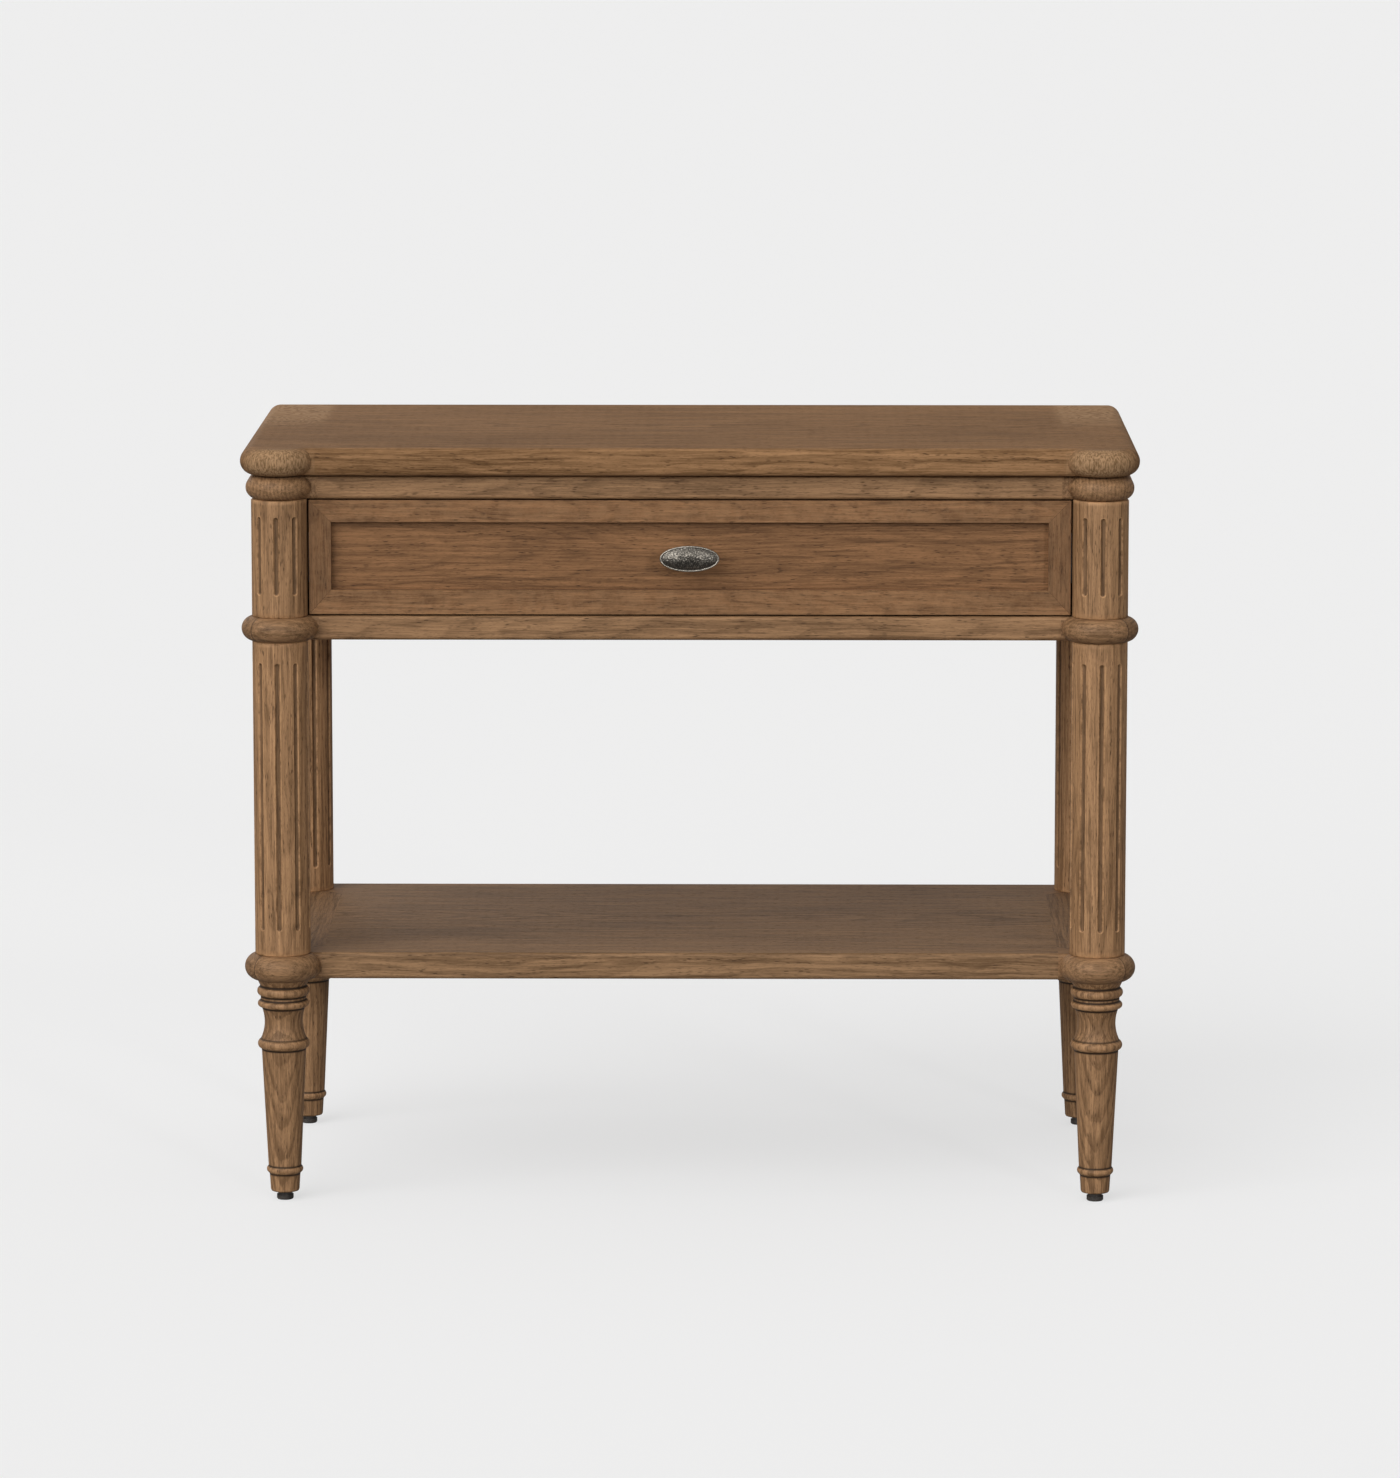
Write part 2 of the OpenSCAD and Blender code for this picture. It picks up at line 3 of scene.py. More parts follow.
import bmesh
import bpy
from mathutils import Matrix, Vector, noise


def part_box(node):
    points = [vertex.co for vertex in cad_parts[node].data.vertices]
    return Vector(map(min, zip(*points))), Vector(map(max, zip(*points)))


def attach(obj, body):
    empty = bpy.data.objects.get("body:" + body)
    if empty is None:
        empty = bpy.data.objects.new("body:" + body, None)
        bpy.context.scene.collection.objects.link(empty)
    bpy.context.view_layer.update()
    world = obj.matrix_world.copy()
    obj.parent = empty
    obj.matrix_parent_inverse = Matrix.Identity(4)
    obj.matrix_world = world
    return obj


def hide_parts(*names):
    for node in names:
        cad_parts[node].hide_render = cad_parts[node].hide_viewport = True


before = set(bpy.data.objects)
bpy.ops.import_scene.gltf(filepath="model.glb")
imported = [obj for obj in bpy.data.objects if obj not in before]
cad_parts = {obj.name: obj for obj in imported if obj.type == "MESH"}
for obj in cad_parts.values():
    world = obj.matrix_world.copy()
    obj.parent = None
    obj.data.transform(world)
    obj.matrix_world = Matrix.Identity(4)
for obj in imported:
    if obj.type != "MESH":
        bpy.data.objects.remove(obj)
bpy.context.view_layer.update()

MM = 0.001
SIDES = ("left", "right")
LEGS = [(end, side) for end in ("front", "back") for side in SIDES]


# ---------------- camera, floor and lights

CAMERA_PLACE = (0.0687, -6.3473, 1.3778)
CAMERA_PITCH = 8.785
CAMERA_TURN = 0.552
CAMERA_LENS = 169.49
CAMERA_SENSOR = 36
CAMERA_REACH = 200
FLOOR_SIZE = 120


def make_camera():
    data = bpy.data.cameras.new("camera")
    data.lens = CAMERA_LENS
    data.sensor_width = CAMERA_SENSOR
    data.clip_end = CAMERA_REACH
    camera = bpy.data.objects.new("camera", data)
    camera.location = CAMERA_PLACE
    camera.rotation_euler = (math.radians(90 - CAMERA_PITCH), 0, math.radians(CAMERA_TURN))
    bpy.context.scene.collection.objects.link(camera)
    bpy.context.scene.camera = camera


def make_sun(name, azimuth, height, strength, softness):
    """A broad distant light. Azimuth 0 shines from the front, positive from the right."""
    data = bpy.data.lights.new(name, "SUN")
    data.energy = strength
    data.angle = math.radians(softness)
    light = bpy.data.objects.new(name, data)
    a, h = math.radians(azimuth), math.radians(height)
    towards_light = Vector((math.sin(a) * math.cos(h), -math.cos(a) * math.cos(h), math.sin(h)))
    light.rotation_mode = "QUATERNION"
    light.rotation_quaternion = towards_light.to_track_quat("Z", "Y")
    bpy.context.scene.collection.objects.link(light)


def make_softbox(name, place, target, size, power):
    """A rectangle of light that shows only in glossy reflections."""
    data = bpy.data.lights.new(name, "AREA")
    data.shape = "RECTANGLE"
    data.size, data.size_y = size
    data.energy = power
    light = bpy.data.objects.new(name, data)
    light.location = place
    light.rotation_mode = "QUATERNION"
    light.rotation_quaternion = (Vector(place) - Vector(target)).to_track_quat("Z", "Y")
    light.visible_camera = False
    light.visible_diffuse = False
    bpy.context.scene.collection.objects.link(light)


def make_studio():
    """A pale room, brighter overhead and to the left, with two soft suns, a crisper one and a softbox."""
    world = bpy.data.worlds.new("studio")
    world.use_nodes = True
    g = Graph(world.node_tree)
    x, y, z = g.split(g.add("ShaderNodeTexCoord").outputs["Generated"])
    overhead = g.fade(z, -0.2, 0.6, 0.22, 0.46)
    leftward = g.math("MULTIPLY_ADD", x, -0.14, 1.0)
    behind = g.fade(y, -1.0, 0.3, 0.7, 1.0)
    strength = g.times(g.times(overhead, leftward), behind)
    g.put(g.nodes["Background"], Color=rgb(1.0, 0.99, 0.98), Strength=strength)
    bpy.context.scene.world = world
    bpy.context.scene.view_settings.view_transform = "Standard"
    make_sun("key", azimuth=-34, height=30, strength=2.25, softness=60)
    make_sun("overhead", azimuth=-60, height=80, strength=0.2, softness=25)
    make_sun("side", azimuth=27, height=13, strength=0.6, softness=7)
    make_softbox("sheen", place=(-2.2, 3.4, 2.2), target=(-0.25, 0.0, 0.68), size=(3.0, 1.6), power=16)


# ---------------- node helpers


class Graph:
    """Adds nodes to a tree and links them."""

    def __init__(self, tree):
        self.tree = tree
        self.nodes = tree.nodes

    def add(self, kind, **settings):
        node = self.nodes.new(kind)
        for key, value in settings.items():
            setattr(node, key, value)
        return node

    def feed(self, socket, value):
        if isinstance(value, bpy.types.NodeSocket):
            self.tree.links.new(value, socket)
        elif value is not None:
            socket.default_value = value

    def put(self, node, **inputs):
        """Feeds a node's inputs by name, with _ for a space."""
        for key, value in inputs.items():
            self.feed(node.inputs[key.replace("_", " ")], value)

    def math(self, operation, a, b=None, c=None, clamp=False):
        node = self.add("ShaderNodeMath", operation=operation, use_clamp=clamp)
        for socket, value in zip(node.inputs, (a, b, c)):
            self.feed(socket, value)
        return node.outputs[0]

    def times(self, a, b, clamp=False):
        return self.math("MULTIPLY", a, b, clamp=clamp)

    def plus(self, a, b, clamp=False):
        return self.math("ADD", a, b, clamp=clamp)

    def minus(self, a, b, clamp=False):
        return self.math("SUBTRACT", a, b, clamp=clamp)

    def vector(self, operation, a, b=None):
        node = self.add("ShaderNodeVectorMath", operation=operation)
        self.feed(node.inputs[0], a)
        self.feed(node.inputs[1], b)
        return node.outputs["Value" if operation == "LENGTH" else "Vector"]

    def stretch(self, vector, scale):
        return self.vector("MULTIPLY", vector, scale)

    def split(self, vector):
        node = self.add("ShaderNodeSeparateXYZ")
        self.feed(node.inputs[0], vector)
        return node.outputs

    def join(self, x, y, z):
        node = self.add("ShaderNodeCombineXYZ")
        for socket, value in zip(node.inputs, (x, y, z)):
            self.feed(socket, value)
        return node.outputs[0]

    def noise(self, vector, detail=2.0, roughness=0.5, out=0, scale=1.0):
        node = self.add("ShaderNodeTexNoise")
        self.put(node, Vector=vector, Scale=scale, Detail=detail, Roughness=roughness)
        return node.outputs[out]

    def voronoi(self, vector):
        node = self.add("ShaderNodeTexVoronoi", feature="F1")
        self.put(node, Vector=vector, Scale=1.0)
        return node

    def fade(self, value, low, high, to_low=0.0, to_high=1.0):
        """Eases from to_low to to_high while the value goes from low to high."""
        node = self.add("ShaderNodeMapRange", interpolation_type="SMOOTHSTEP")
        for socket, v in zip(node.inputs, (value, low, high, to_low, to_high)):
            self.feed(socket, v)
        return node.outputs[0]

    def mix(self, share, a, b):
        node = self.add("ShaderNodeMix", data_type="RGBA")
        self.feed(node.inputs[0], share)
        self.feed(node.inputs[6], a)
        self.feed(node.inputs[7], b)
        return node.outputs[2]

    def bump(self, height, strength, distance):
        node = self.add("ShaderNodeBump")
        self.put(node, Height=height, Strength=strength, Distance=distance)
        return node.outputs[0]

    def moved(self, geometry, offset):
        node = self.add("GeometryNodeTransform")
        self.put(node, Geometry=geometry, Translation=offset)
        return node.outputs[0]

    def kept(self, name):
        """The value that the mesh keeps under this name."""
        return self.add("ShaderNodeAttribute", attribute_type="GEOMETRY", attribute_name=name).outputs["Fac"]

    def group(self, tree, **inputs):
        node = self.add("ShaderNodeGroup", node_tree=tree)
        self.put(node, **inputs)
        return node.outputs


def rgb(red, green, blue):
    return (red, green, blue, 1.0)


def new_group(name, kind, inputs, outputs):
    """A node group with named sockets, {name: type}, and its input and output nodes."""
    tree = bpy.data.node_groups.new(name, kind)
    for direction, sockets in (("INPUT", inputs), ("OUTPUT", outputs)):
        for label, socket in sockets.items():
            tree.interface.new_socket(label, in_out=direction, socket_type="NodeSocket" + socket)
    graph = Graph(tree)
    return graph, graph.add("NodeGroupInput").outputs, graph.add("NodeGroupOutput")


# ---------------- shared effects


def oak_grain_group():
    """Flat-sawn oak with the grain along X and its face along Z: rings, open pores, streaks and staves."""
    g, given, out = new_group(
        "oak grain",
        "ShaderNodeTree",
        {
            "Vector": "Vector",
            "Seed": "Float",
            "Light": "Color",
            "Dark": "Color",
            "Pore": "Color",
            "Pith Depth": "Float",
            "Pith Side": "Float",
            "Ring Width": "Float",
            "Ring Strength": "Float",
            "Pore Strength": "Float",
            "Stave Width": "Float",
        },
        {"Color": "Color", "Roughness": "Float", "Height": "Float"},
    )
    board = g.stretch(given["Vector"], (1000, 1000, 1000))
    seed = given["Seed"]
    p = g.vector("ADD", board, g.stretch(g.join(seed, seed, seed), (137.0, 71.0, 53.0)))

    # Slow warp of the fibres, so that rings wander along the board
    warp = g.noise(g.stretch(p, (0.0035, 0.012, 0.012)), detail=3, out=1)
    warp = g.vector("MULTIPLY", g.vector("SUBTRACT", warp, (0.5, 0.5, 0.5)), (0, 20, 20))
    wiggle = g.noise(g.stretch(p, (0.02, 0.08, 0.08)), detail=2, out=1)
    wiggle = g.vector("MULTIPLY", g.vector("SUBTRACT", wiggle, (0.5, 0.5, 0.5)), (0, 2.4, 2.4))
    bend = g.vector("ADD", warp, wiggle)
    q = g.vector("ADD", p, bend)

    # Growth rings round a pith that leans along the board, which gives pointed arches on the face
    along, across, deep = g.split(g.vector("ADD", board, bend))
    beside = g.plus(g.math("MULTIPLY_ADD", along, 0.02, across), given["Pith Side"])
    under = g.plus(g.math("MULTIPLY_ADD", along, 0.045, deep), given["Pith Depth"])
    radius = g.vector("LENGTH", g.join(0.0, beside, under))
    ring = g.math("FRACT", g.math("DIVIDE", radius, given["Ring Width"]))
    early = g.times(g.fade(ring, 0.0, 0.1), g.fade(ring, 0.12, 0.7, 1.0, 0.0))
    ring_tone = g.times(early, given["Ring Strength"])

    # Streaks, fibres, pale flecks and the drift of tone over the whole board
    streak = g.noise(g.stretch(q, (0.006, 0.3, 0.3)), detail=5, roughness=0.68)
    fibre = g.noise(g.stretch(p, (0.045, 1.2, 1.2)), detail=3, roughness=0.65)
    drift = g.noise(g.stretch(p, (0.003, 0.011, 0.011)), detail=2)
    fleck = g.fade(g.noise(g.stretch(q, (0.09, 0.9, 0.9)), detail=2), 0.6, 0.74)
    stave = g.math("FLOOR", g.math("DIVIDE", g.split(p)[1], given["Stave Width"]))
    stave_tone = g.add("ShaderNodeTexWhiteNoise", noise_dimensions="1D")
    g.feed(stave_tone.inputs["W"], stave)
    tone = g.math("MULTIPLY_ADD", g.minus(streak, 0.5), 2.6, 0.56)
    tone = g.math("MULTIPLY_ADD", g.minus(fibre, 0.5), 1.5, tone)
    tone = g.math("MULTIPLY_ADD", g.minus(drift, 0.5), 0.6, tone)
    tone = g.math("MULTIPLY_ADD", fleck, 0.3, tone)
    tone = g.math("MULTIPLY_ADD", g.minus(stave_tone.outputs[0], 0.5), 0.12, tone)
    tone = g.minus(tone, ring_tone, clamp=True)

    # Open pores: short dark dashes, thicker in the early wood
    coarse = g.voronoi(g.stretch(q, (0.1, 0.72, 0.72)))
    fine = g.voronoi(g.stretch(p, (0.16, 1.35, 1.35)))
    present = g.fade(g.split(coarse.outputs["Color"])[0], 0.3, 0.36)
    dash = g.fade(coarse.outputs["Distance"], 0.14, 0.32, 1.0, 0.0)
    dash = g.times(g.times(dash, present), g.math("MULTIPLY_ADD", early, 0.6, 0.5))
    nick = g.times(g.fade(fine.outputs["Distance"], 0.12, 0.3, 1.0, 0.0), 0.5)
    pore = g.math("MAXIMUM", dash, nick)
    pore_share = g.times(pore, given["Pore Strength"], clamp=True)

    color = g.mix(tone, given["Dark"], given["Light"])
    color = g.mix(pore_share, color, given["Pore"])
    g.feed(out.inputs["Color"], color)
    g.feed(out.inputs["Roughness"], g.math("MULTIPLY_ADD", pore, 0.2, g.fade(streak, 0.2, 0.8, 0.52, 0.64)))
    relief = g.math("MULTIPLY_ADD", fibre, 0.22, g.times(pore, -1.0))
    g.feed(out.inputs["Height"], relief)
    return g.tree


def handling_group():
    """Rubbed edges and painted shade darkening the hollows, from the piece's own wear and hollow-shade
    values.
    """
    g, given, out = new_group(
        "handling",
        "ShaderNodeTree",
        {
            "Color": "Color",
            "Vector": "Vector",
            "Rubbed": "Color",
            "Glaze": "Color",
            "Rub": "Float",
            "Fill": "Float",
        },
        {"Color": "Color"},
    )
    patchy = g.fade(g.noise(given["Vector"], detail=4, roughness=0.7, scale=90.0), 0.35, 0.62)
    # Painted shade: the colour is darkened towards a dark oak tone in the hollows, where shade falls
    darkened = g.mix(g.times(g.kept("patina_and_shade"), given["Fill"], clamp=True), given["Color"], given["Glaze"])
    rub = g.times(g.times(g.kept("wear"), patchy), given["Rub"], clamp=True)
    g.feed(out.inputs["Color"], g.mix(rub, darkened, given["Rubbed"]))
    return g.tree


def smudge_group():
    """Soft uneven gloss, as left by polish and handling."""
    g, given, out = new_group(
        "smudges",
        "ShaderNodeTree",
        {"Vector": "Vector", "Base": "Float", "Spread": "Float", "Scale": "Float"},
        {"Roughness": "Float"},
    )
    cloud = g.noise(given["Vector"], detail=4, roughness=0.6, scale=given["Scale"])
    swing = g.times(g.minus(cloud, 0.5), g.times(given["Spread"], 2.0))
    g.feed(out.inputs["Roughness"], g.plus(given["Base"], swing, clamp=True))
    return g.tree


OAK_GRAIN = oak_grain_group()
HANDLING = handling_group()
SMUDGES = smudge_group()


# ---------------- materials

AXES = {"x": Vector((1, 0, 0)), "y": Vector((0, 1, 0)), "z": Vector((0, 0, 1)), "-x": Vector((-1, 0, 0)),
        "-y": Vector((0, -1, 0))}
OAK_LIGHT = (0.318, 0.178, 0.086)
OAK_DARK = (0.122, 0.064, 0.028)
OAK_PORE = (0.034, 0.017, 0.009)
RUBBED_SHARE = 1.35
# How dark the painted shade in the hollows is, as a share of the dark oak colour
PAINTED_SHADE_SHARE = 0.26
JOINT_SHARE = 0.25
END_HALF_SHARE = 0.84
PORE_DEPTH = 0.00035
PORE_STRENGTH = 0.55
NEXT_SEED = 1.3
MITRE_SEED = 3.7


def new_material(name):
    material = bpy.data.materials.new(name)
    material.use_nodes = True
    graph = Graph(material.node_tree)
    shader = material.node_tree.nodes["Principled BSDF"]
    place = graph.add("ShaderNodeTexCoord").outputs["Object"]
    return material, graph, shader, place


def placed(graph, place, centre, grain, face):
    """Coordinates from the board's centre, with X along the grain and Z out of its face."""
    along, out = AXES[grain], AXES[face]
    turn = Matrix((along, out.cross(along), out))
    node = graph.add("ShaderNodeMapping")
    graph.put(node, Vector=place, Location=-(turn @ centre), Rotation=turn.to_euler())
    return node.outputs[0]


def scaled(color, share, warmth=1.0):
    """A colour made lighter or darker, and warmer when warmth is above one."""
    return rgb(color[0] * share * warmth, color[1] * share, color[2] * share / warmth)


def grained(g, place, centre, grain, face, seed, share=1.0, warmth=1.0, pith=40.0, aside=0.0, rings=3.2,
            ring_strength=0.35, pores=0.75, stave=4000.0):
    return g.group(
        OAK_GRAIN, Vector=placed(g, place, centre, grain, face), Seed=seed,
        Light=scaled(OAK_LIGHT, share, warmth), Dark=scaled(OAK_DARK, share, warmth), Pore=rgb(*OAK_PORE),
        Pith_Depth=pith, Pith_Side=aside, Ring_Width=rings, Ring_Strength=ring_strength, Pore_Strength=pores,
        Stave_Width=stave,
    )


def finished(g, shader, place, color, height, roughness, look, sheen, rub=0.5, hollow_shade=0.6):
    """Rubbed edges, painted shade in the hollows and a low satin finish over the wood's own colour."""
    rubbed = scaled(OAK_LIGHT, RUBBED_SHARE * look.get("share", 1.0))
    aged = g.group(HANDLING, Color=color, Vector=place, Rubbed=rubbed, Glaze=scaled(OAK_DARK, PAINTED_SHADE_SHARE),
                   Rub=rub, Fill=hollow_shade)
    g.put(shader, Base_Color=aged["Color"], Roughness=roughness,
          Normal=g.bump(height, PORE_STRENGTH, PORE_DEPTH), Specular_IOR_Level=sheen)


def oak(name, node, grain, face, seed, rub=0.5, hollow_shade=0.6, sheen=0.25, **look):
    """Oak for one board, its figure centred on the board."""
    material, g, shader, place = new_material(name)
    wood = grained(g, place, centre_of(node), grain, face, seed, **look)
    finished(g, shader, place, wood["Color"], wood["Height"], wood["Roughness"], look, sheen, rub, hollow_shade)
    return material


def mitred_oak(name, end, rail, seed, **look):
    """Oak for an end board with ringed corners: the outer half grained along Y, the front and back
    halves along X, with a dark joint at 45 degrees between them."""
    material, g, shader, place = new_material(name)
    post = centre_of("lower_column_front_right")
    x, y, _ = g.split(place)
    sideways = g.minus(g.math("ABSOLUTE", x), abs(post.x))
    endways = g.minus(g.math("ABSOLUTE", y), abs(post.y))
    over = g.minus(endways, sideways)
    front = g.math("GREATER_THAN", over, 0.0)
    joint = g.fade(g.math("ABSOLUTE", over), 0.0003, 0.0009, 0.85, 0.0)
    outer_look = dict(look, share=END_HALF_SHARE * look["share"])
    outer = grained(g, place, centre_of(end), "y", "z", seed, **outer_look)
    inner = grained(g, place, centre_of(rail), "x", "z", seed + MITRE_SEED, **look)
    color = g.mix(joint, g.mix(front, outer["Color"], inner["Color"]), scaled(OAK_DARK, JOINT_SHARE))
    height = g.minus(outer["Height"], g.times(joint, 1.5))
    finished(g, shader, place, color, height, inner["Roughness"], look, sheen=0.25)
    return material


def top_oak(name, seed, **look):
    """Oak for the whole top: pale end grain and a painted highlight on the fronts of the round noses, curly
    figure in the rear corners.
    """
    material, g, shader, place = new_material(name)
    wood = grained(g, place, centre_of("top_panel"), "x", "z", seed, **look)
    end_low, end_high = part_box("top_end_right")
    post_x = centre_of("lower_column_front_right").x
    joint = 2 * post_x - end_high.x
    x, y, _ = g.split(place)
    reach = g.math("ABSOLUTE", x)
    # The fronts of the round noses: pale end-grain flecks together with a painted highlight, strongest at the
    # front edge
    frontward = g.fade(y, end_low.y + 0.006, end_low.y + 0.024, 0.8, 0.0)
    nose_grain_and_highlight = g.times(g.fade(reach, joint, joint + 0.003), frontward)
    fleck = g.noise(g.stretch(place, (700, 700, 150)), detail=3, roughness=0.65)
    pale = g.mix(g.fade(fleck, 0.36, 0.62), scaled(OAK_DARK, 1.5, 0.9), scaled(OAK_LIGHT, 1.45, 0.9))
    color = g.mix(nose_grain_and_highlight, wood["Color"], pale)
    corner = g.times(g.fade(reach, joint, joint + 0.012), g.fade(y, -0.04, 0.1))
    curl = g.math("FRACT", g.times(g.noise(place, detail=2, scale=26.0), 15.0))
    curl = g.times(g.fade(curl, 0.1, 0.3, 0.1, 0.6), g.fade(curl, 0.55, 0.95, 1.0, 0.2))
    color = g.mix(g.times(corner, curl), color, scaled(OAK_LIGHT, 1.5, 0.9))
    finished(g, shader, place, color, wood["Height"], wood["Roughness"], look, sheen=0.05)
    return material


def pewter():
    material, g, shader, place = new_material("pewter")
    dents = g.noise(place, detail=2, roughness=0.6, scale=760.0)
    cloud = g.noise(place, detail=2, scale=70.0)
    dark = g.mix(g.fade(cloud, 0.35, 0.65), rgb(0.10, 0.088, 0.072), rgb(0.22, 0.197, 0.166))
    dark = g.mix(g.fade(dents, 0.42, 0.56, 0.9, 0.0), dark, rgb(0.022, 0.02, 0.018))
    dark = g.mix(g.fade(dents, 0.55, 0.64, 0.0, 0.7), dark, rgb(0.55, 0.50, 0.43))
    dark = g.mix(g.times(g.kept("patina_and_shade"), 0.5, clamp=True), dark, rgb(0.035, 0.034, 0.032))
    color = g.mix(g.times(g.kept("wear"), 0.7, clamp=True), dark, rgb(0.50, 0.46, 0.40))
    roughness = g.fade(dents, 0.3, 0.7, 0.46, 0.3)
    g.put(shader, Base_Color=color, Metallic=1.0, Roughness=roughness, Normal=g.bump(dents, 0.8, 0.0006))
    return material


def zinc_steel():
    material, g, shader, place = new_material("zinc steel")
    cloud = g.noise(place, detail=3, roughness=0.6, scale=70.0)
    drawn = g.noise(g.stretch(place, (900, 14, 900)), detail=2)
    color = g.mix(g.fade(cloud, 0.3, 0.7), rgb(0.50, 0.51, 0.53), rgb(0.64, 0.64, 0.63))
    gloss = g.group(SMUDGES, Vector=place, Base=0.34, Spread=0.1, Scale=55.0)
    g.put(shader, Base_Color=color, Metallic=1.0, Roughness=gloss["Roughness"],
          Normal=g.bump(drawn, 0.18, 0.0001))
    return material


def glide_nylon():
    material, g, shader, place = new_material("glide nylon")
    cloud = g.noise(place, detail=4, roughness=0.65, scale=160.0)
    color = g.mix(g.fade(cloud, 0.35, 0.7), rgb(0.022, 0.018, 0.015), rgb(0.055, 0.045, 0.038))
    gloss = g.group(SMUDGES, Vector=place, Base=0.42, Spread=0.12, Scale=120.0)
    g.put(shader, Base_Color=color, Roughness=gloss["Roughness"], Normal=g.bump(cloud, 0.2, 0.0002))
    return material


def floor_paint():
    """Pale studio floor. Most of its tone is its own glow, as on a sweep lit from all round."""
    material, g, shader, _ = new_material("pale floor")
    g.put(shader, Base_Color=rgb(0.27, 0.27, 0.27), Roughness=1.0, Specular_IOR_Level=0.0,
          Emission_Color=rgb(1, 1, 1), Emission_Strength=0.62)
    return material


# ---------------- mesh helpers


def mesh_object(name, mesh, material):
    piece = bpy.data.objects.new(name, mesh)
    bpy.context.scene.collection.objects.link(piece)
    mesh.materials.clear()
    mesh.materials.append(material)
    return piece


def build_mesh(name, vertices, faces, smooth=True):
    mesh = bpy.data.meshes.new(name)
    mesh.from_pydata(vertices, [], faces)
    mesh.validate()
    mesh.polygons.foreach_set("use_smooth", [smooth] * len(mesh.polygons))
    return mesh


def sharpen(mesh, degrees):
    """Smooth shading everywhere except over edges sharper than this."""
    mesh.set_sharp_from_angle(angle=math.radians(degrees))


def ringed_mesh(name, vertices, turns, wear, patina_and_shade):
    """Closed solid over rings of vertices, turns to a ring, with a flat face on its first and last ring."""
    faces = []
    for low in range(0, len(vertices) - turns, turns):
        for i in range(turns):
            j = (i + 1) % turns
            faces.append((low + i, low + j, low + turns + j, low + turns + i))
    faces.append(tuple(reversed(range(turns))))
    faces.append(tuple(range(len(vertices) - turns, len(vertices))))
    mesh = build_mesh(name, vertices, faces)
    mesh.attributes.new("wear", "FLOAT", "POINT").data.foreach_set("value", wear)
    mesh.attributes.new("patina_and_shade", "FLOAT", "POINT").data.foreach_set("value", patina_and_shade)
    return mesh


def lathe_mesh(name, outline, turns=72):
    """Solid of revolution about Z. The outline is (radius, height, wear, painted shade) from low to high."""
    vertices, wear, patina_and_shade = [], [], []
    for radius, height, rubbed, darkened in outline:
        for i in range(turns):
            a = 2 * math.pi * i / turns
            vertices.append((radius * math.cos(a), radius * math.sin(a), height))
            wear.append(rubbed)
            patina_and_shade.append(darkened)
    mesh = ringed_mesh(name, vertices, turns, wear, patina_and_shade)
    sharpen(mesh, 40)
    return mesh


def leg_name(part, end, side):
    return f"{part}_{end}_{side}"


def centre_of(node):
    low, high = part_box(node)
    return (low + high) / 2


def stand_leg(mesh, end, side):
    """Moves a mesh made round the Z axis to its leg, mirrored from the front left one."""
    x, y, _ = centre_of(leg_name("lower_column", end, side))
    flip_x = -1 if side == "right" else 1
    flip_y = -1 if end == "back" else 1
    mesh.transform(Matrix.Translation((x, y, 0)) @ Matrix.Diagonal((flip_x, flip_y, 1, 1)))
    if flip_x * flip_y < 0:
        mesh.flip_normals()
    return mesh


# ---------------- fluted columns


def new_tree(name, inputs):
    """A geometry node tree with the named inputs, {name: type}, beside its geometry and material."""
    shape = {"Geometry": "Geometry"}
    return new_group(name, "GeometryNodeTree", dict(shape, **inputs, Material="Material"), shape)


def grow(name, tree, material, points=(), **inputs):
    """Runs a geometry node tree, over the given points if any, and keeps its result as a plain mesh."""
    start = bpy.data.meshes.new(name)
    start.from_pydata(points, [], [])
    holder = bpy.data.objects.new(name, start)
    bpy.context.scene.collection.objects.link(holder)
    modifier = holder.modifiers.new("grow", "NODES")
    modifier.node_group = tree
    wanted = dict(inputs, Material=material)
    for item in tree.interface.items_tree:
        label = item.name.replace(" ", "_")
        if item.in_out == "INPUT" and label in wanted:
            modifier[item.identifier] = wanted[label]
    graph = bpy.context.evaluated_depsgraph_get()
    mesh = bpy.data.meshes.new_from_object(holder.evaluated_get(graph))
    mesh.name = name
    bpy.data.objects.remove(holder)
    return mesh


def finish_tree(g, given, out, geometry):
    """The tree's ending: real geometry, with its material."""
    real = g.add("GeometryNodeRealizeInstances")
    g.feed(real.inputs[0], geometry)
    dressed = g.add("GeometryNodeSetMaterial")
    g.put(dressed, Geometry=real.outputs[0], Material=given["Material"])
    g.feed(out.inputs[0], dressed.outputs[0])
    return g.tree


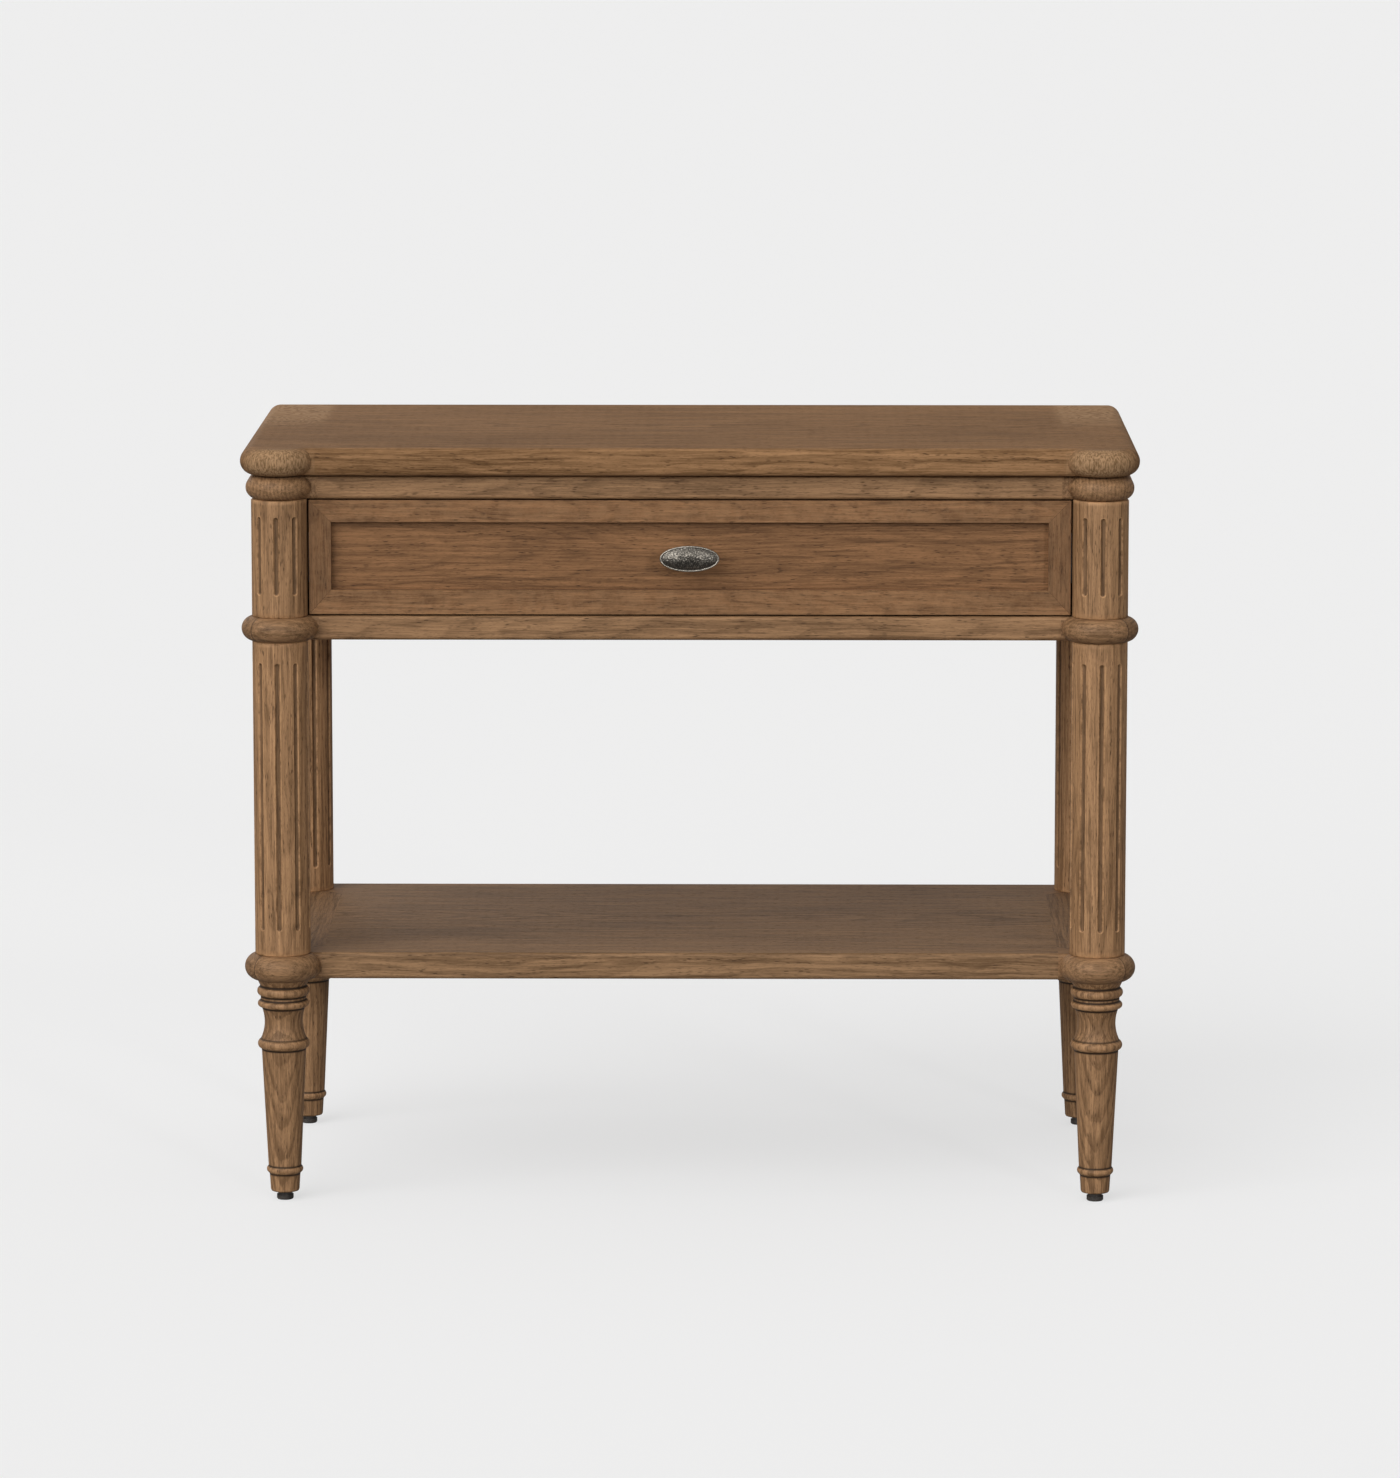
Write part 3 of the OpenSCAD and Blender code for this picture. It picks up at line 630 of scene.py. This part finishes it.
def column_tree():
    """A round column with stopped, round-ended flutes. Angles count from the front, in radians."""
    g, given, out = new_tree(
        "fluted column",
        {
            "Radius": "Float",
            "Low": "Float",
            "High": "Float",
            "Flute Width": "Float",
            "Flute Depth": "Float",
            "Low Margin": "Float",
            "High Margin": "Float",
            "First Angle": "Float",
            "Flute Step": "Float",
            "First Flute": "Float",
            "Last Flute": "Float",
        },
    )
    rows = 76
    edge = 0.0008
    drum = g.add("GeometryNodeMeshCylinder", fill_type="NGON")
    g.put(drum, Vertices=360, Side_Segments=rows, Radius=given["Radius"], Depth=1.0)
    x, y, z = g.split(g.add("GeometryNodeInputPosition").outputs[0])
    share = g.plus(z, 0.5)

    # Rows crowd together where the flutes end
    half_width = g.times(given["Flute Width"], 0.5)
    zone = g.times(given["Flute Width"], 1.1)
    height = g.minus(given["High"], given["Low"])
    low_lead = g.minus(given["Low Margin"], g.times(zone, 0.25))
    high_lead = g.minus(given["High Margin"], g.times(zone, 0.25))
    middle = g.minus(g.minus(height, g.plus(low_lead, high_lead)), g.times(zone, 2.0))
    lengths = (edge, g.minus(low_lead, edge), zone, middle, zone, g.minus(high_lead, edge), edge)
    row_shares = (3, 4, 22, 18, 22, 4, 3)
    level = given["Low"]
    start = 0.0
    for length, count in zip(lengths, row_shares):
        end = start + count / rows
        rise = g.add("ShaderNodeMapRange", clamp=True)
        for socket, value in zip(rise.inputs, (share, start, end, 0.0, length)):
            g.feed(socket, value)
        level = g.plus(level, rise.outputs[0])
        start = end

    # Which flute is nearest, and how far away its centre line is
    angle = g.math("ARCTAN2", x, g.times(y, -1.0))
    turn = g.math("DIVIDE", g.minus(angle, given["First Angle"]), given["Flute Step"])
    index = g.math("ROUND", turn)
    after_first = g.math("GREATER_THAN", index, g.minus(given["First Flute"], 0.5))
    before_last = g.math("LESS_THAN", index, g.plus(given["Last Flute"], 0.5))
    inside = g.times(after_first, before_last)
    off = g.times(g.times(g.minus(turn, index), given["Flute Step"]), given["Radius"])
    low_end = g.plus(g.plus(given["Low"], given["Low Margin"]), half_width)
    high_end = g.minus(g.minus(given["High"], given["High Margin"]), half_width)
    past = g.math("MAXIMUM", g.minus(low_end, level), g.minus(level, high_end))
    past = g.math("MAXIMUM", past, 0.0)
    away = g.math("SQRT", g.plus(g.times(off, off), g.times(past, past)))

    # Round-bottomed cut, eased where it meets the column
    depth = given["Flute Depth"]
    squares = g.plus(g.times(half_width, half_width), g.times(depth, depth))
    cutter = g.math("DIVIDE", squares, g.times(depth, 2.0))
    under = g.minus(g.times(cutter, cutter), g.times(away, away))
    under = g.math("SQRT", g.math("MAXIMUM", under, 0.0))
    cut = g.minus(under, g.minus(cutter, depth))
    cut = g.times(g.math("SMOOTH_MAX", cut, 0.0, 0.0004), inside)
    from_end = g.math("MINIMUM", g.minus(level, given["Low"]), g.minus(given["High"], level))
    easing = g.math("MAXIMUM", g.minus(edge, from_end), 0.0)
    radius = g.minus(g.minus(given["Radius"], cut), easing)
    ratio = g.math("DIVIDE", radius, given["Radius"])

    # Rubbed lips and ends, and painted shade in the flutes: kept before the plain drum is reshaped
    lip = g.fade(g.math("ABSOLUTE", g.minus(away, half_width)), 0.0, 0.0011, 0.8, 0.0)
    end_rub = g.fade(from_end, 0.0004, 0.0022, 1.0, 0.0)
    wear = g.math("MAXIMUM", g.times(lip, inside), end_rub)
    patina_and_shade = g.fade(cut, 0.0002, 0.0014)
    geometry = drum.outputs["Mesh"]
    for label, value in (("wear", wear), ("patina_and_shade", patina_and_shade)):
        store = g.add("GeometryNodeStoreNamedAttribute", data_type="FLOAT", domain="POINT")
        g.put(store, Geometry=geometry, Name=label, Value=value)
        geometry = store.outputs[0]
    shaped = g.add("GeometryNodeSetPosition")
    g.put(shaped, Geometry=geometry,
          Position=g.join(g.times(x, ratio), g.times(y, ratio), level))
    return finish_tree(g, given, out, shaped.outputs[0])


COLUMN_RADIUS = 25 * MM
FLUTE_WIDTH = 5 * MM
FLUTE_DEPTH = 2 * MM
FLUTE_COUNT = 9
FLUTE_FIRST = math.radians(-3)
ALL_FLUTES = (-99.0, 99.0)
EXPOSED_FLUTES = (-2.0, 1.0)
LOWER_MARGINS = (23 * MM, 18.5 * MM)
UPPER_MARGINS = (20.5 * MM, 14.5 * MM)


def make_columns():
    tree = column_tree()
    kinds = (("lower_column", LOWER_MARGINS, ALL_FLUTES, 1.45),
             ("upper_column", UPPER_MARGINS, EXPOSED_FLUTES, 1.32))
    for part, margins, flutes, share in kinds:
        for end, side in LEGS:
            node = leg_name(part, end, side)
            low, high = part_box(node)
            material = oak(f"oak {part} {end} {side}".replace("_", " "), node, "z",
                           "-y" if end == "front" else "y", seed=low.x * 31 + low.z * 17,
                           share=share, pith=44, rings=3.6, ring_strength=0.25, rub=0.8, hollow_shade=0.55)
            mesh = grow(
                f"fluted_{node}", tree, material, Radius=COLUMN_RADIUS, Low=low.z, High=high.z,
                Flute_Width=FLUTE_WIDTH, Flute_Depth=FLUTE_DEPTH, Low_Margin=margins[0],
                High_Margin=margins[1], First_Angle=FLUTE_FIRST, Flute_Step=2 * math.pi / FLUTE_COUNT,
                First_Flute=flutes[0], Last_Flute=flutes[1],
            )
            mesh.polygons.foreach_set("use_smooth", [True] * len(mesh.polygons))
            sharpen(mesh, 60)
            piece = mesh_object(f"fluted_{node}", stand_leg(mesh, end, side), material)
            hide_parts(node)
            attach(piece, "frame")


# ---------------- turned feet


# The foot's profile in millimetres: levels of its bands, and its radii
FOOT_CUFF = 16
FOOT_TAPER_BELOW_TOP = 64.5
FOOT_NECK_BELOW_TOP = 39
FOOT_TAPER_RADIUS = 20.0
FOOT_COVE_RADIUS = 36.4
FOOT_WAIST_RADIUS = 17.2
FOOT_STEM_RADIUS = 23


def foot_radius(z, top):
    """Radius in millimetres at a height above the foot's lower end, for a foot that is top high."""

    def bead(level, core, swell):
        reach = swell * swell - (z - level) ** 2
        return core + math.sqrt(reach) if reach > 0 else 0.0

    def straight(z0, r0, z1, r1):
        return r0 + (r1 - r0) * (z - z0) / (z1 - z0) if z0 <= z <= z1 else 0.0

    cuff, taper, neck = FOOT_CUFF, top - FOOT_TAPER_BELOW_TOP, top - FOOT_NECK_BELOW_TOP
    cove = FOOT_COVE_RADIUS
    hollow = FOOT_WAIST_RADIUS + cove - math.sqrt(max(cove * cove - (z - neck) ** 2, 0))
    stem = min(hollow, FOOT_STEM_RADIUS) if neck - 19 <= z <= neck + 15 else 0.0
    lines = (
        straight(0, 12.2, 1.2, 13.0), straight(1.2, 13.0, cuff, 13.9),
        straight(cuff, 14.5, taper, FOOT_TAPER_RADIUS),
        straight(taper, FOOT_TAPER_RADIUS, taper + 8, FOOT_TAPER_RADIUS), stem,
        straight(top - 24, 20.6, top - 4, 20.6), straight(top - 6, 20.8, top, 23.6),
    )
    beads = (bead(cuff + 4, 13, 3.5), bead(top - 59.2, 18.8, 4.7), bead(top - 22.3, 20.1, 3.2),
             bead(top - 10.8, 19, 4.7))
    return max(lines + beads)


FULL_WEAR_BULGE = 1.2
# How hollow a groove must be, in millimetres, for the full painted shade
FULL_PAINTED_SHADE_HOLLOW = 0.5


def foot_outline(low, high):
    """Outline rows for the lathe, softened a little, with wear on the beads and painted shade in the grooves.
    """
    top = (high - low) / MM
    step = 0.5
    count = round(top / step)
    heights = [top * i / count for i in range(count + 1)]
    raw = [foot_radius(z, top) for z in heights]
    padded = [raw[0]] + raw + [raw[-1]]
    soft = [(padded[i] + 2 * padded[i + 1] + padded[i + 2]) / 4 for i in range(count + 1)]
    reach = 3
    rows = []
    for i, (z, radius) in enumerate(zip(heights, soft)):
        below, above = soft[max(i - reach, 0)], soft[min(i + reach, count)]
        bulge = radius - (below + above) / 2
        rubbed = min(max(bulge / FULL_WEAR_BULGE, 0), 1)
        # Painted shade in the grooves, where the outline is hollow
        darkened = min(max(-bulge / FULL_PAINTED_SHADE_HOLLOW, 0), 1)
        rows.append((radius * MM, low + z * MM, rubbed, darkened))
    return rows


def make_feet():
    for end, side in LEGS:
        node = leg_name("foot", end, side)
        low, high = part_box(node)
        material = oak(f"oak foot {end} {side}", node, "z", "-y" if end == "front" else "y",
                       seed=low.x * 23 + low.y * 41, share=1.3, pith=34, rings=3.4, ring_strength=0.4,
                       rub=0.9, hollow_shade=1.0)
        mesh = lathe_mesh(f"turned_{node}", foot_outline(low.z, high.z))
        piece = mesh_object(f"turned_{node}", stand_leg(mesh, end, side), material)
        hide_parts(node)
        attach(piece, "frame")


# ---------------- drawer front

MITRE_EASE = 0.35 * MM


def prism(name, outline, y_front, y_back, ease):
    """A flat piece with an outline in X and Z, its edges eased with two facets."""
    count = len(outline)
    vertices = [(x, y_front, z) for x, z in outline] + [(x, y_back, z) for x, z in outline]
    faces = [tuple(range(count)), tuple(reversed(range(count, 2 * count)))]
    for i in range(count):
        j = (i + 1) % count
        faces.append((j, i, i + count, j + count))
    mesh = build_mesh(name, vertices, faces, smooth=False)
    work = bmesh.new()
    work.from_mesh(mesh)
    bmesh.ops.recalc_face_normals(work, faces=work.faces)
    bmesh.ops.bevel(work, geom=list(work.edges), offset=ease, segments=2, profile=0.5, affect="EDGES")
    wear = work.verts.layers.float.new("wear")
    for vertex in work.verts:
        vertex[wear] = 0.6
    work.to_mesh(mesh)
    work.free()
    return mesh


def make_drawer_front():
    low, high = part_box("drawer_rail_bottom")[0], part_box("drawer_rail_top")[1]
    inner_low, inner_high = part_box("drawer_rail_bottom")[1].z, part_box("drawer_rail_top")[0].z
    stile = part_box("drawer_stile_left")[1].x - low.x
    x0, x1 = low.x, high.x
    x2, x3 = x0 + stile, x1 - stile
    outlines = {
        "drawer_rail_top": [(x0, high.z), (x2, inner_high), (x3, inner_high), (x1, high.z)],
        "drawer_rail_bottom": [(x0, low.z), (x1, low.z), (x3, inner_low), (x2, inner_low)],
        "drawer_stile_left": [(x0, low.z), (x2, inner_low), (x2, inner_high), (x0, high.z)],
        "drawer_stile_right": [(x1, low.z), (x1, high.z), (x3, inner_high), (x3, inner_low)],
    }
    for node, outline in outlines.items():
        grain, share = ("x", 0.85) if "rail" in node else ("z", 0.7)
        wood = oak("oak " + node.replace("_", " "), node, grain, "-y",
                   seed=outline[0][0] * 29 + outline[0][1] * 83, share=share, warmth=1.12,
                   pith=45, rings=2.6, ring_strength=0.2, rub=0.4)
        mesh = prism(f"mitred_{node}", outline, low.y, high.y, MITRE_EASE)
        piece = mesh_object(f"mitred_{node}", mesh, wood)
        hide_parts(node)
        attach(piece, "drawer")


# ---------------- knob

# Rings of the knob in millimetres: half width, half height and distance from its back face
KNOB_BACK_RINGS = (
    (8.5, 8.5, 0.0), (8.5, 8.5, 0.8), (8.3, 8.3, 1.5), (7.7, 7.7, 2.1), (7.0, 7.0, 2.4), (6.1, 6.1, 2.7),
    (5.6, 5.6, 3.4), (5.4, 5.4, 6.0), (5.4, 5.4, 16.0), (5.7, 5.6, 18.2), (8.0, 6.0, 19.2),
    (13.0, 6.6, 19.8), (18.5, 8.3, 20.9), (22.5, 9.9, 22.2), (25.2, 11.0, 23.4), (26.4, 11.5, 24.1),
    (26.8, 11.75, 24.8),
)
# The rim, as distances in from the oval's edge and from the back face
KNOB_RIM = ((0.05, 25.5), (0.3, 26.05), (0.7, 26.35), (1.1, 26.3), (1.45, 26.05), (1.75, 25.95))
KNOB_RIM_WIDTH = 1.2
KNOB_PIT_DEPTH = 0.32
KNOB_TURNS = 288
KNOB_FACE_RINGS = 34


def knob_mesh():
    """Oval head with a thin raised rim and a finely pitted crown, on a round neck and rose."""
    low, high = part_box("knob")
    centre = centre_of("knob")
    half_x, half_z = (high.x - low.x) / 2 / MM, (high.z - low.z) / 2 / MM
    crown_h = (high.y - low.y) / MM
    rows = [(x, z, h, 0.12, 0.35, 0.0) for x, z, h in KNOB_BACK_RINGS]

    def inside(inset):
        """Half sizes of the oval a given distance inside the rim."""
        return half_x - inset - (half_x - half_z) * (inset / half_z) ** 2, half_z - inset

    for inset, h in KNOB_RIM:
        on_rim = inset < KNOB_RIM_WIDTH
        rows.append((*inside(inset), h, 1.0 if on_rim else 0.0, 0.0 if on_rim else 0.9, 0.15))
    start, base = KNOB_RIM[-1]
    for k in range(1, KNOB_FACE_RINGS + 1):
        t = k / (KNOB_FACE_RINGS + 0.5)
        inset = start + t * (half_z - start)
        rise = 1 - (1 - t) ** 2.3
        rows.append((*inside(inset), base + (crown_h - 0.15 - base) * rise, 0.3 * (1 - t), 0.25, 1.0))

    vertices, wear, patina_and_shade = [], [], []
    for across, up, h, rubbed, darkened, pitted in rows:
        for i in range(KNOB_TURNS):
            a = 2 * math.pi * i / KNOB_TURNS
            x, z = across * math.cos(a), up * math.sin(a)
            broad = noise.noise(Vector((x * 0.95, z * 0.95, 3.1)))
            fine = noise.noise(Vector((x * 2.3, z * 2.3, 7.7)))
            pit = max(0.0, broad + 0.55 * fine) * pitted
            depth = h - KNOB_PIT_DEPTH * pit
            vertices.append((centre.x + x * MM, high.y - depth * MM, centre.z + z * MM))
            wear.append(rubbed)
            patina_and_shade.append(min(darkened + 1.5 * pit, 1.0))
    mesh = ringed_mesh("oval_knob", vertices, KNOB_TURNS, wear, patina_and_shade)
    work = bmesh.new()
    work.from_mesh(mesh)
    bmesh.ops.recalc_face_normals(work, faces=work.faces)
    work.to_mesh(mesh)
    work.free()
    return mesh


def make_knob(material):
    piece = mesh_object("oval_knob", knob_mesh(), material)
    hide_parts("knob")
    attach(piece, "drawer")


# ---------------- screws and ball rows


def screw_tree():
    """Countersunk screws with a cross slot, one at each of the mesh's points, all along Direction."""
    g, given, out = new_tree(
        "wood screws",
        {
            "Direction": "Vector",
            "Length": "Float",
            "Shank Radius": "Float",
            "Head Radius": "Float",
            "Head Height": "Float",
        },
    )
    half = g.times(given["Length"], 0.5)
    shank = g.add("GeometryNodeMeshCylinder", fill_type="NGON")
    g.put(shank, Vertices=24, Radius=given["Shank Radius"], Depth=given["Length"])
    shank_up = g.moved(shank.outputs["Mesh"], g.join(0.0, 0.0, half))
    head = g.add("GeometryNodeMeshCone", fill_type="NGON")
    g.put(head, Vertices=32, Radius_Bottom=given["Head Radius"], Depth=given["Head Height"],
          Radius_Top=g.times(given["Head Radius"], 0.86))
    head_down = g.add("GeometryNodeTransform")
    g.put(head_down, Geometry=head.outputs["Mesh"], Rotation=(math.pi, 0.0, 0.0))
    long_side = g.times(given["Head Radius"], 1.15)
    short_side = g.times(given["Head Radius"], 0.26)
    slot_depth = g.times(given["Head Height"], 0.9)
    half_head = g.join(0.0, 0.0, g.times(given["Head Height"], -0.5))
    slotted = g.add("GeometryNodeMeshBoolean", operation="DIFFERENCE", solver="EXACT")
    g.feed(slotted.inputs[0], head_down.outputs[0])
    for sides in ((long_side, short_side), (short_side, long_side)):
        bar = g.add("GeometryNodeMeshCube")
        g.put(bar, Size=g.join(*sides, slot_depth))
        g.feed(slotted.inputs[1], g.moved(bar.outputs["Mesh"], half_head))
    both = g.add("GeometryNodeJoinGeometry")
    g.feed(both.inputs[0], shank_up)
    g.feed(both.inputs[0], g.moved(slotted.outputs[0], half_head))
    aim = g.add("FunctionNodeAlignRotationToVector", axis="Z")
    g.put(aim, Vector=given["Direction"])
    spread = g.add("GeometryNodeInstanceOnPoints")
    g.put(spread, Points=given["Geometry"], Instance=both.outputs[0], Rotation=aim.outputs[0])
    return finish_tree(g, given, out, spread.outputs[0])


def ball_tree():
    """A straight row of bearing balls along Y in a thin cage strip, from the given mesh's points."""
    g, given, out = new_tree(
        "ball rows",
        {"Count": "Int", "Pitch": "Float", "Ball Radius": "Float", "Cage": "Vector"},
    )
    line = g.add("GeometryNodeMeshLine")
    g.put(line, Count=given["Count"], Offset=g.join(0.0, given["Pitch"], 0.0))
    ball = g.add("GeometryNodeMeshIcoSphere")
    g.put(ball, Radius=given["Ball Radius"], Subdivisions=2)
    smooth = g.add("GeometryNodeSetShadeSmooth")
    g.put(smooth, Geometry=ball.outputs["Mesh"])
    balls = g.add("GeometryNodeInstanceOnPoints")
    g.put(balls, Points=line.outputs[0], Instance=smooth.outputs[0])
    cage = g.add("GeometryNodeMeshCube")
    g.put(cage, Size=given["Cage"])
    span = g.times(given["Pitch"], g.minus(given["Count"], 1.0))
    row = g.add("GeometryNodeJoinGeometry")
    g.feed(row.inputs[0], balls.outputs[0])
    g.feed(row.inputs[0], g.moved(cage.outputs["Mesh"], g.join(0.0, g.times(span, 0.5), 0.0)))
    spread = g.add("GeometryNodeInstanceOnPoints")
    g.put(spread, Points=given["Geometry"], Instance=row.outputs[0])
    return finish_tree(g, given, out, spread.outputs[0])


SCREW_RADIUS = 2 * MM
SCREW_HEAD_RADIUS = 4 * MM
TOP_HEAD_HEIGHT = 3 * MM
FRONT_HEAD_HEIGHT = 2 * MM
SLIDE_SCREW_RADIUS = 1.75 * MM
SLIDE_HEAD_RADIUS = 3.5 * MM
SLIDE_HEAD_HEIGHT = 1.5 * MM
INNER_SCREW_LENGTH = 9 * MM
SLIDE_SHEET = 1.2 * MM


def make_screws(material):
    tree = screw_tree()

    def screws(node, name, body, groups, radius, head_radius, head_height):
        """Screws of one node: groups of (places of the head's underside, direction, length)."""
        parts = []
        for places, direction, length in groups:
            parts.append(grow(name, tree, material, points=places, Direction=direction, Length=length,
                              Shank_Radius=radius, Head_Radius=head_radius, Head_Height=head_height))
        piece = mesh_object(name, joined(name, parts), material)
        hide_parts(node)
        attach(piece, body)

    low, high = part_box("top_screws")
    head = TOP_HEAD_HEIGHT
    rows_y = (low.y + SCREW_HEAD_RADIUS, high.y - SCREW_HEAD_RADIUS)
    reach_x = high.x - SCREW_HEAD_RADIUS
    places = [(x, y, low.z + head) for x in (-reach_x, -reach_x / 3, reach_x / 3, reach_x) for y in rows_y]
    screws("top_screws", "screws_top", "frame", [(places, (0, 0, 1), high.z - low.z - head)],
           SCREW_RADIUS, SCREW_HEAD_RADIUS, head)

    for node, name, body, outwards, count in (
            ("slide_outer_screws", "screws_slide_outer", "frame", 1, 3),
            ("slide_inner_screws", "screws_slide_inner", "drawer", -1, 2)):
        low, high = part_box(node)
        y0, y1 = low.y + SLIDE_HEAD_RADIUS, high.y - SLIDE_HEAD_RADIUS
        z = (low.z + high.z) / 2
        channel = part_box("slide_outer_left" if outwards > 0 else "slide_inner_left")
        web = channel[0].x + SLIDE_SHEET if outwards > 0 else channel[1].x - SLIDE_SHEET
        tip = low.x if outwards > 0 else web + INNER_SCREW_LENGTH
        groups = []
        for side in (-1, 1):
            places = [(-side * web, y0 + (y1 - y0) * i / (count - 1), z) for i in range(count)]
            groups.append((places, (side * outwards, 0, 0), abs(web - tip)))
        screws(node, name, body, groups, SLIDE_SCREW_RADIUS, SLIDE_HEAD_RADIUS, SLIDE_HEAD_HEIGHT)

    head = FRONT_HEAD_HEIGHT
    low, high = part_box("drawer_front_screws")
    xs = (low.x + SCREW_HEAD_RADIUS, high.x - SCREW_HEAD_RADIUS)
    zs = (low.z + SCREW_HEAD_RADIUS, high.z - SCREW_HEAD_RADIUS)
    places = [(x, high.y - head, z) for x in xs for z in zs]
    screws("drawer_front_screws", "screws_drawer_front", "drawer",
           [(places, (0, -1, 0), high.y - head - low.y)], SCREW_RADIUS, SCREW_HEAD_RADIUS, head)
    low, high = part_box("knob_screw")
    centre = centre_of("knob_screw")
    screws("knob_screw", "screw_knob", "drawer",
           [([(centre.x, high.y - head, centre.z)], (0, -1, 0), high.y - head - low.y)],
           SCREW_RADIUS, SCREW_HEAD_RADIUS, head)


# How far the two pairs of rows stand in from the outer channel's web, and their balls and cages
BALLS_IN_OUTER = 7.6 * MM
BALLS_IN_MIDDLE = 8.5 * MM
OUTER_BALL_RADIUS, OUTER_CAGE_WIDTH = 2.05 * MM, 3.9 * MM
INNER_BALL_RADIUS, INNER_CAGE_WIDTH = 1.8 * MM, 3.3 * MM
BALL_PITCH = 8 * MM
BALL_COUNT = 14
ROW_INSET = 6 * MM
CAGE_SHEET = 0.6 * MM
CAGE_OVERHANG = 5 * MM


def make_ball_rows(material):
    """Rows of balls between the nested channels, kept on the middle channel where they stay covered."""
    tree = ball_tree()
    run = BALL_PITCH * (BALL_COUNT - 1)
    for side in SIDES:
        outer, middle, inner = (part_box(f"slide_{part}_{side}") for part in ("outer", "middle", "inner"))
        level = (middle[0].z + middle[1].z) / 2
        wide = ((outer[1].z - level - SLIDE_SHEET) + (middle[1].z - level)) / 2
        narrow = ((middle[1].z - level - SLIDE_SHEET) + (inner[1].z - level)) / 2
        sign = -1 if side == "left" else 1
        web = outer[1].x if sign > 0 else outer[0].x
        x_wide, x_narrow = web - sign * BALLS_IN_OUTER, web - sign * BALLS_IN_MIDDLE
        rows = (
            (x_wide, middle[1].y - run - ROW_INSET, wide, OUTER_BALL_RADIUS, OUTER_CAGE_WIDTH),
            (x_narrow, middle[0].y + ROW_INSET, narrow, INNER_BALL_RADIUS, INNER_CAGE_WIDTH),
        )
        parts = [grow("balls", tree, material, points=[(x, y, level - rise), (x, y, level + rise)],
                      Count=BALL_COUNT, Pitch=BALL_PITCH, Ball_Radius=radius,
                      Cage=(CAGE_SHEET, run + CAGE_OVERHANG, width)) for x, y, rise, radius, width in rows]
        piece = mesh_object(f"ball_rows_{side}", joined(f"ball_rows_{side}", parts), material)
        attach(piece, f"slide_{side}")


def joined(name, meshes):
    """One mesh from several, keeping their smoothing."""
    work = bmesh.new()
    for mesh in meshes:
        work.from_mesh(mesh)
    mesh = bpy.data.meshes.new(name)
    work.to_mesh(mesh)
    work.free()
    return mesh


# ---------------- finishes of the boards


def dress(material, *nodes):
    for node in nodes:
        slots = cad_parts[node].data.materials
        slots.clear()
        slots.append(material)


def dress_boards():
    """Oak for every board that keeps its CAD shape, each with a seed of its own."""
    dress(top_oak("oak top", seed=1.0, pith=60, stave=92, share=1.03, warmth=1.02, ring_strength=0.25),
          "top_panel", "top_end_left", "top_end_right")
    dress(oak("oak shelf", "shelf_panel", "x", "z", seed=7.0, pith=60, stave=96, share=1.06, warmth=0.97,
              ring_strength=0.25, sheen=0.22), "shelf_panel")
    dress(oak("oak drawer panel", "drawer_panel", "x", "-y", seed=31.0, share=0.83, warmth=1.14, pith=80,
              rings=2.4, ring_strength=0.16), "drawer_panel")

    seed = 10.0
    bands = dict(pith=55, share=1.18, ring_strength=0.25)
    for node, grain, face in (
            ("upper_rail_front", "x", "-y"), ("upper_rail_back", "x", "-y"),
            ("upper_end_left", "y", "-x"), ("upper_end_right", "y", "x"),
            ("mid_rail_front", "x", "-y"), ("mid_rail_back", "x", "-y")):
        dress(oak("oak " + node.replace("_", " "), node, grain, face, seed=seed, **bands), node)
        seed += NEXT_SEED
    for part, rail in (("mid_end", "mid_rail_front"), ("shelf_end", "shelf_panel")):
        for side in SIDES:
            node = f"{part}_{side}"
            wood = mitred_oak("oak " + node.replace("_", " "), node, rail, seed, share=1.1, pith=70, aside=60,
                              ring_strength=0.22)
            dress(wood, node)
            seed += NEXT_SEED
    for node, grain, face in (
            ("back_apron", "x", "y"), ("side_apron_left", "y", "-x"), ("side_apron_right", "y", "x"),
            ("opening_stile_left", "z", "x"), ("opening_stile_right", "z", "-x")):
        dress(oak("oak " + node.replace("_", " "), node, grain, face, seed=seed, pith=42, share=0.97), node)
        seed += NEXT_SEED
    pale = dict(share=1.85, warmth=0.97, ring_strength=0.3, pores=0.4)
    for node, grain, face in (
            ("drawer_box_front", "x", "-y"), ("drawer_back", "x", "y"), ("drawer_bottom", "x", "z"),
            ("dust_panel", "x", "z"), ("drawer_side_left", "y", "-x"), ("drawer_side_right", "y", "x"),
            ("slide_batten_left", "y", "x"), ("slide_batten_right", "y", "-x")):
        dress(oak("pale oak " + node.replace("_", " "), node, grain, face, seed=seed, **pale), node)
        seed += NEXT_SEED


def make_everything():
    make_camera()
    make_studio()

    bpy.ops.mesh.primitive_plane_add(size=FLOOR_SIZE)
    floor = bpy.context.object
    floor.name = "floor"
    floor.visible_diffuse = False
    floor.visible_glossy = False
    floor.data.materials.append(floor_paint())

    make_columns()
    make_feet()
    make_drawer_front()
    make_knob(pewter())
    steel = zinc_steel()
    make_screws(steel)
    make_ball_rows(steel)
    dress_boards()
    dress(glide_nylon(), "floor_glides")
    channels = [f"slide_{part}_{side}" for part in ("outer", "middle", "inner") for side in SIDES]
    dress(steel, "tie_rods", *channels)


make_everything()
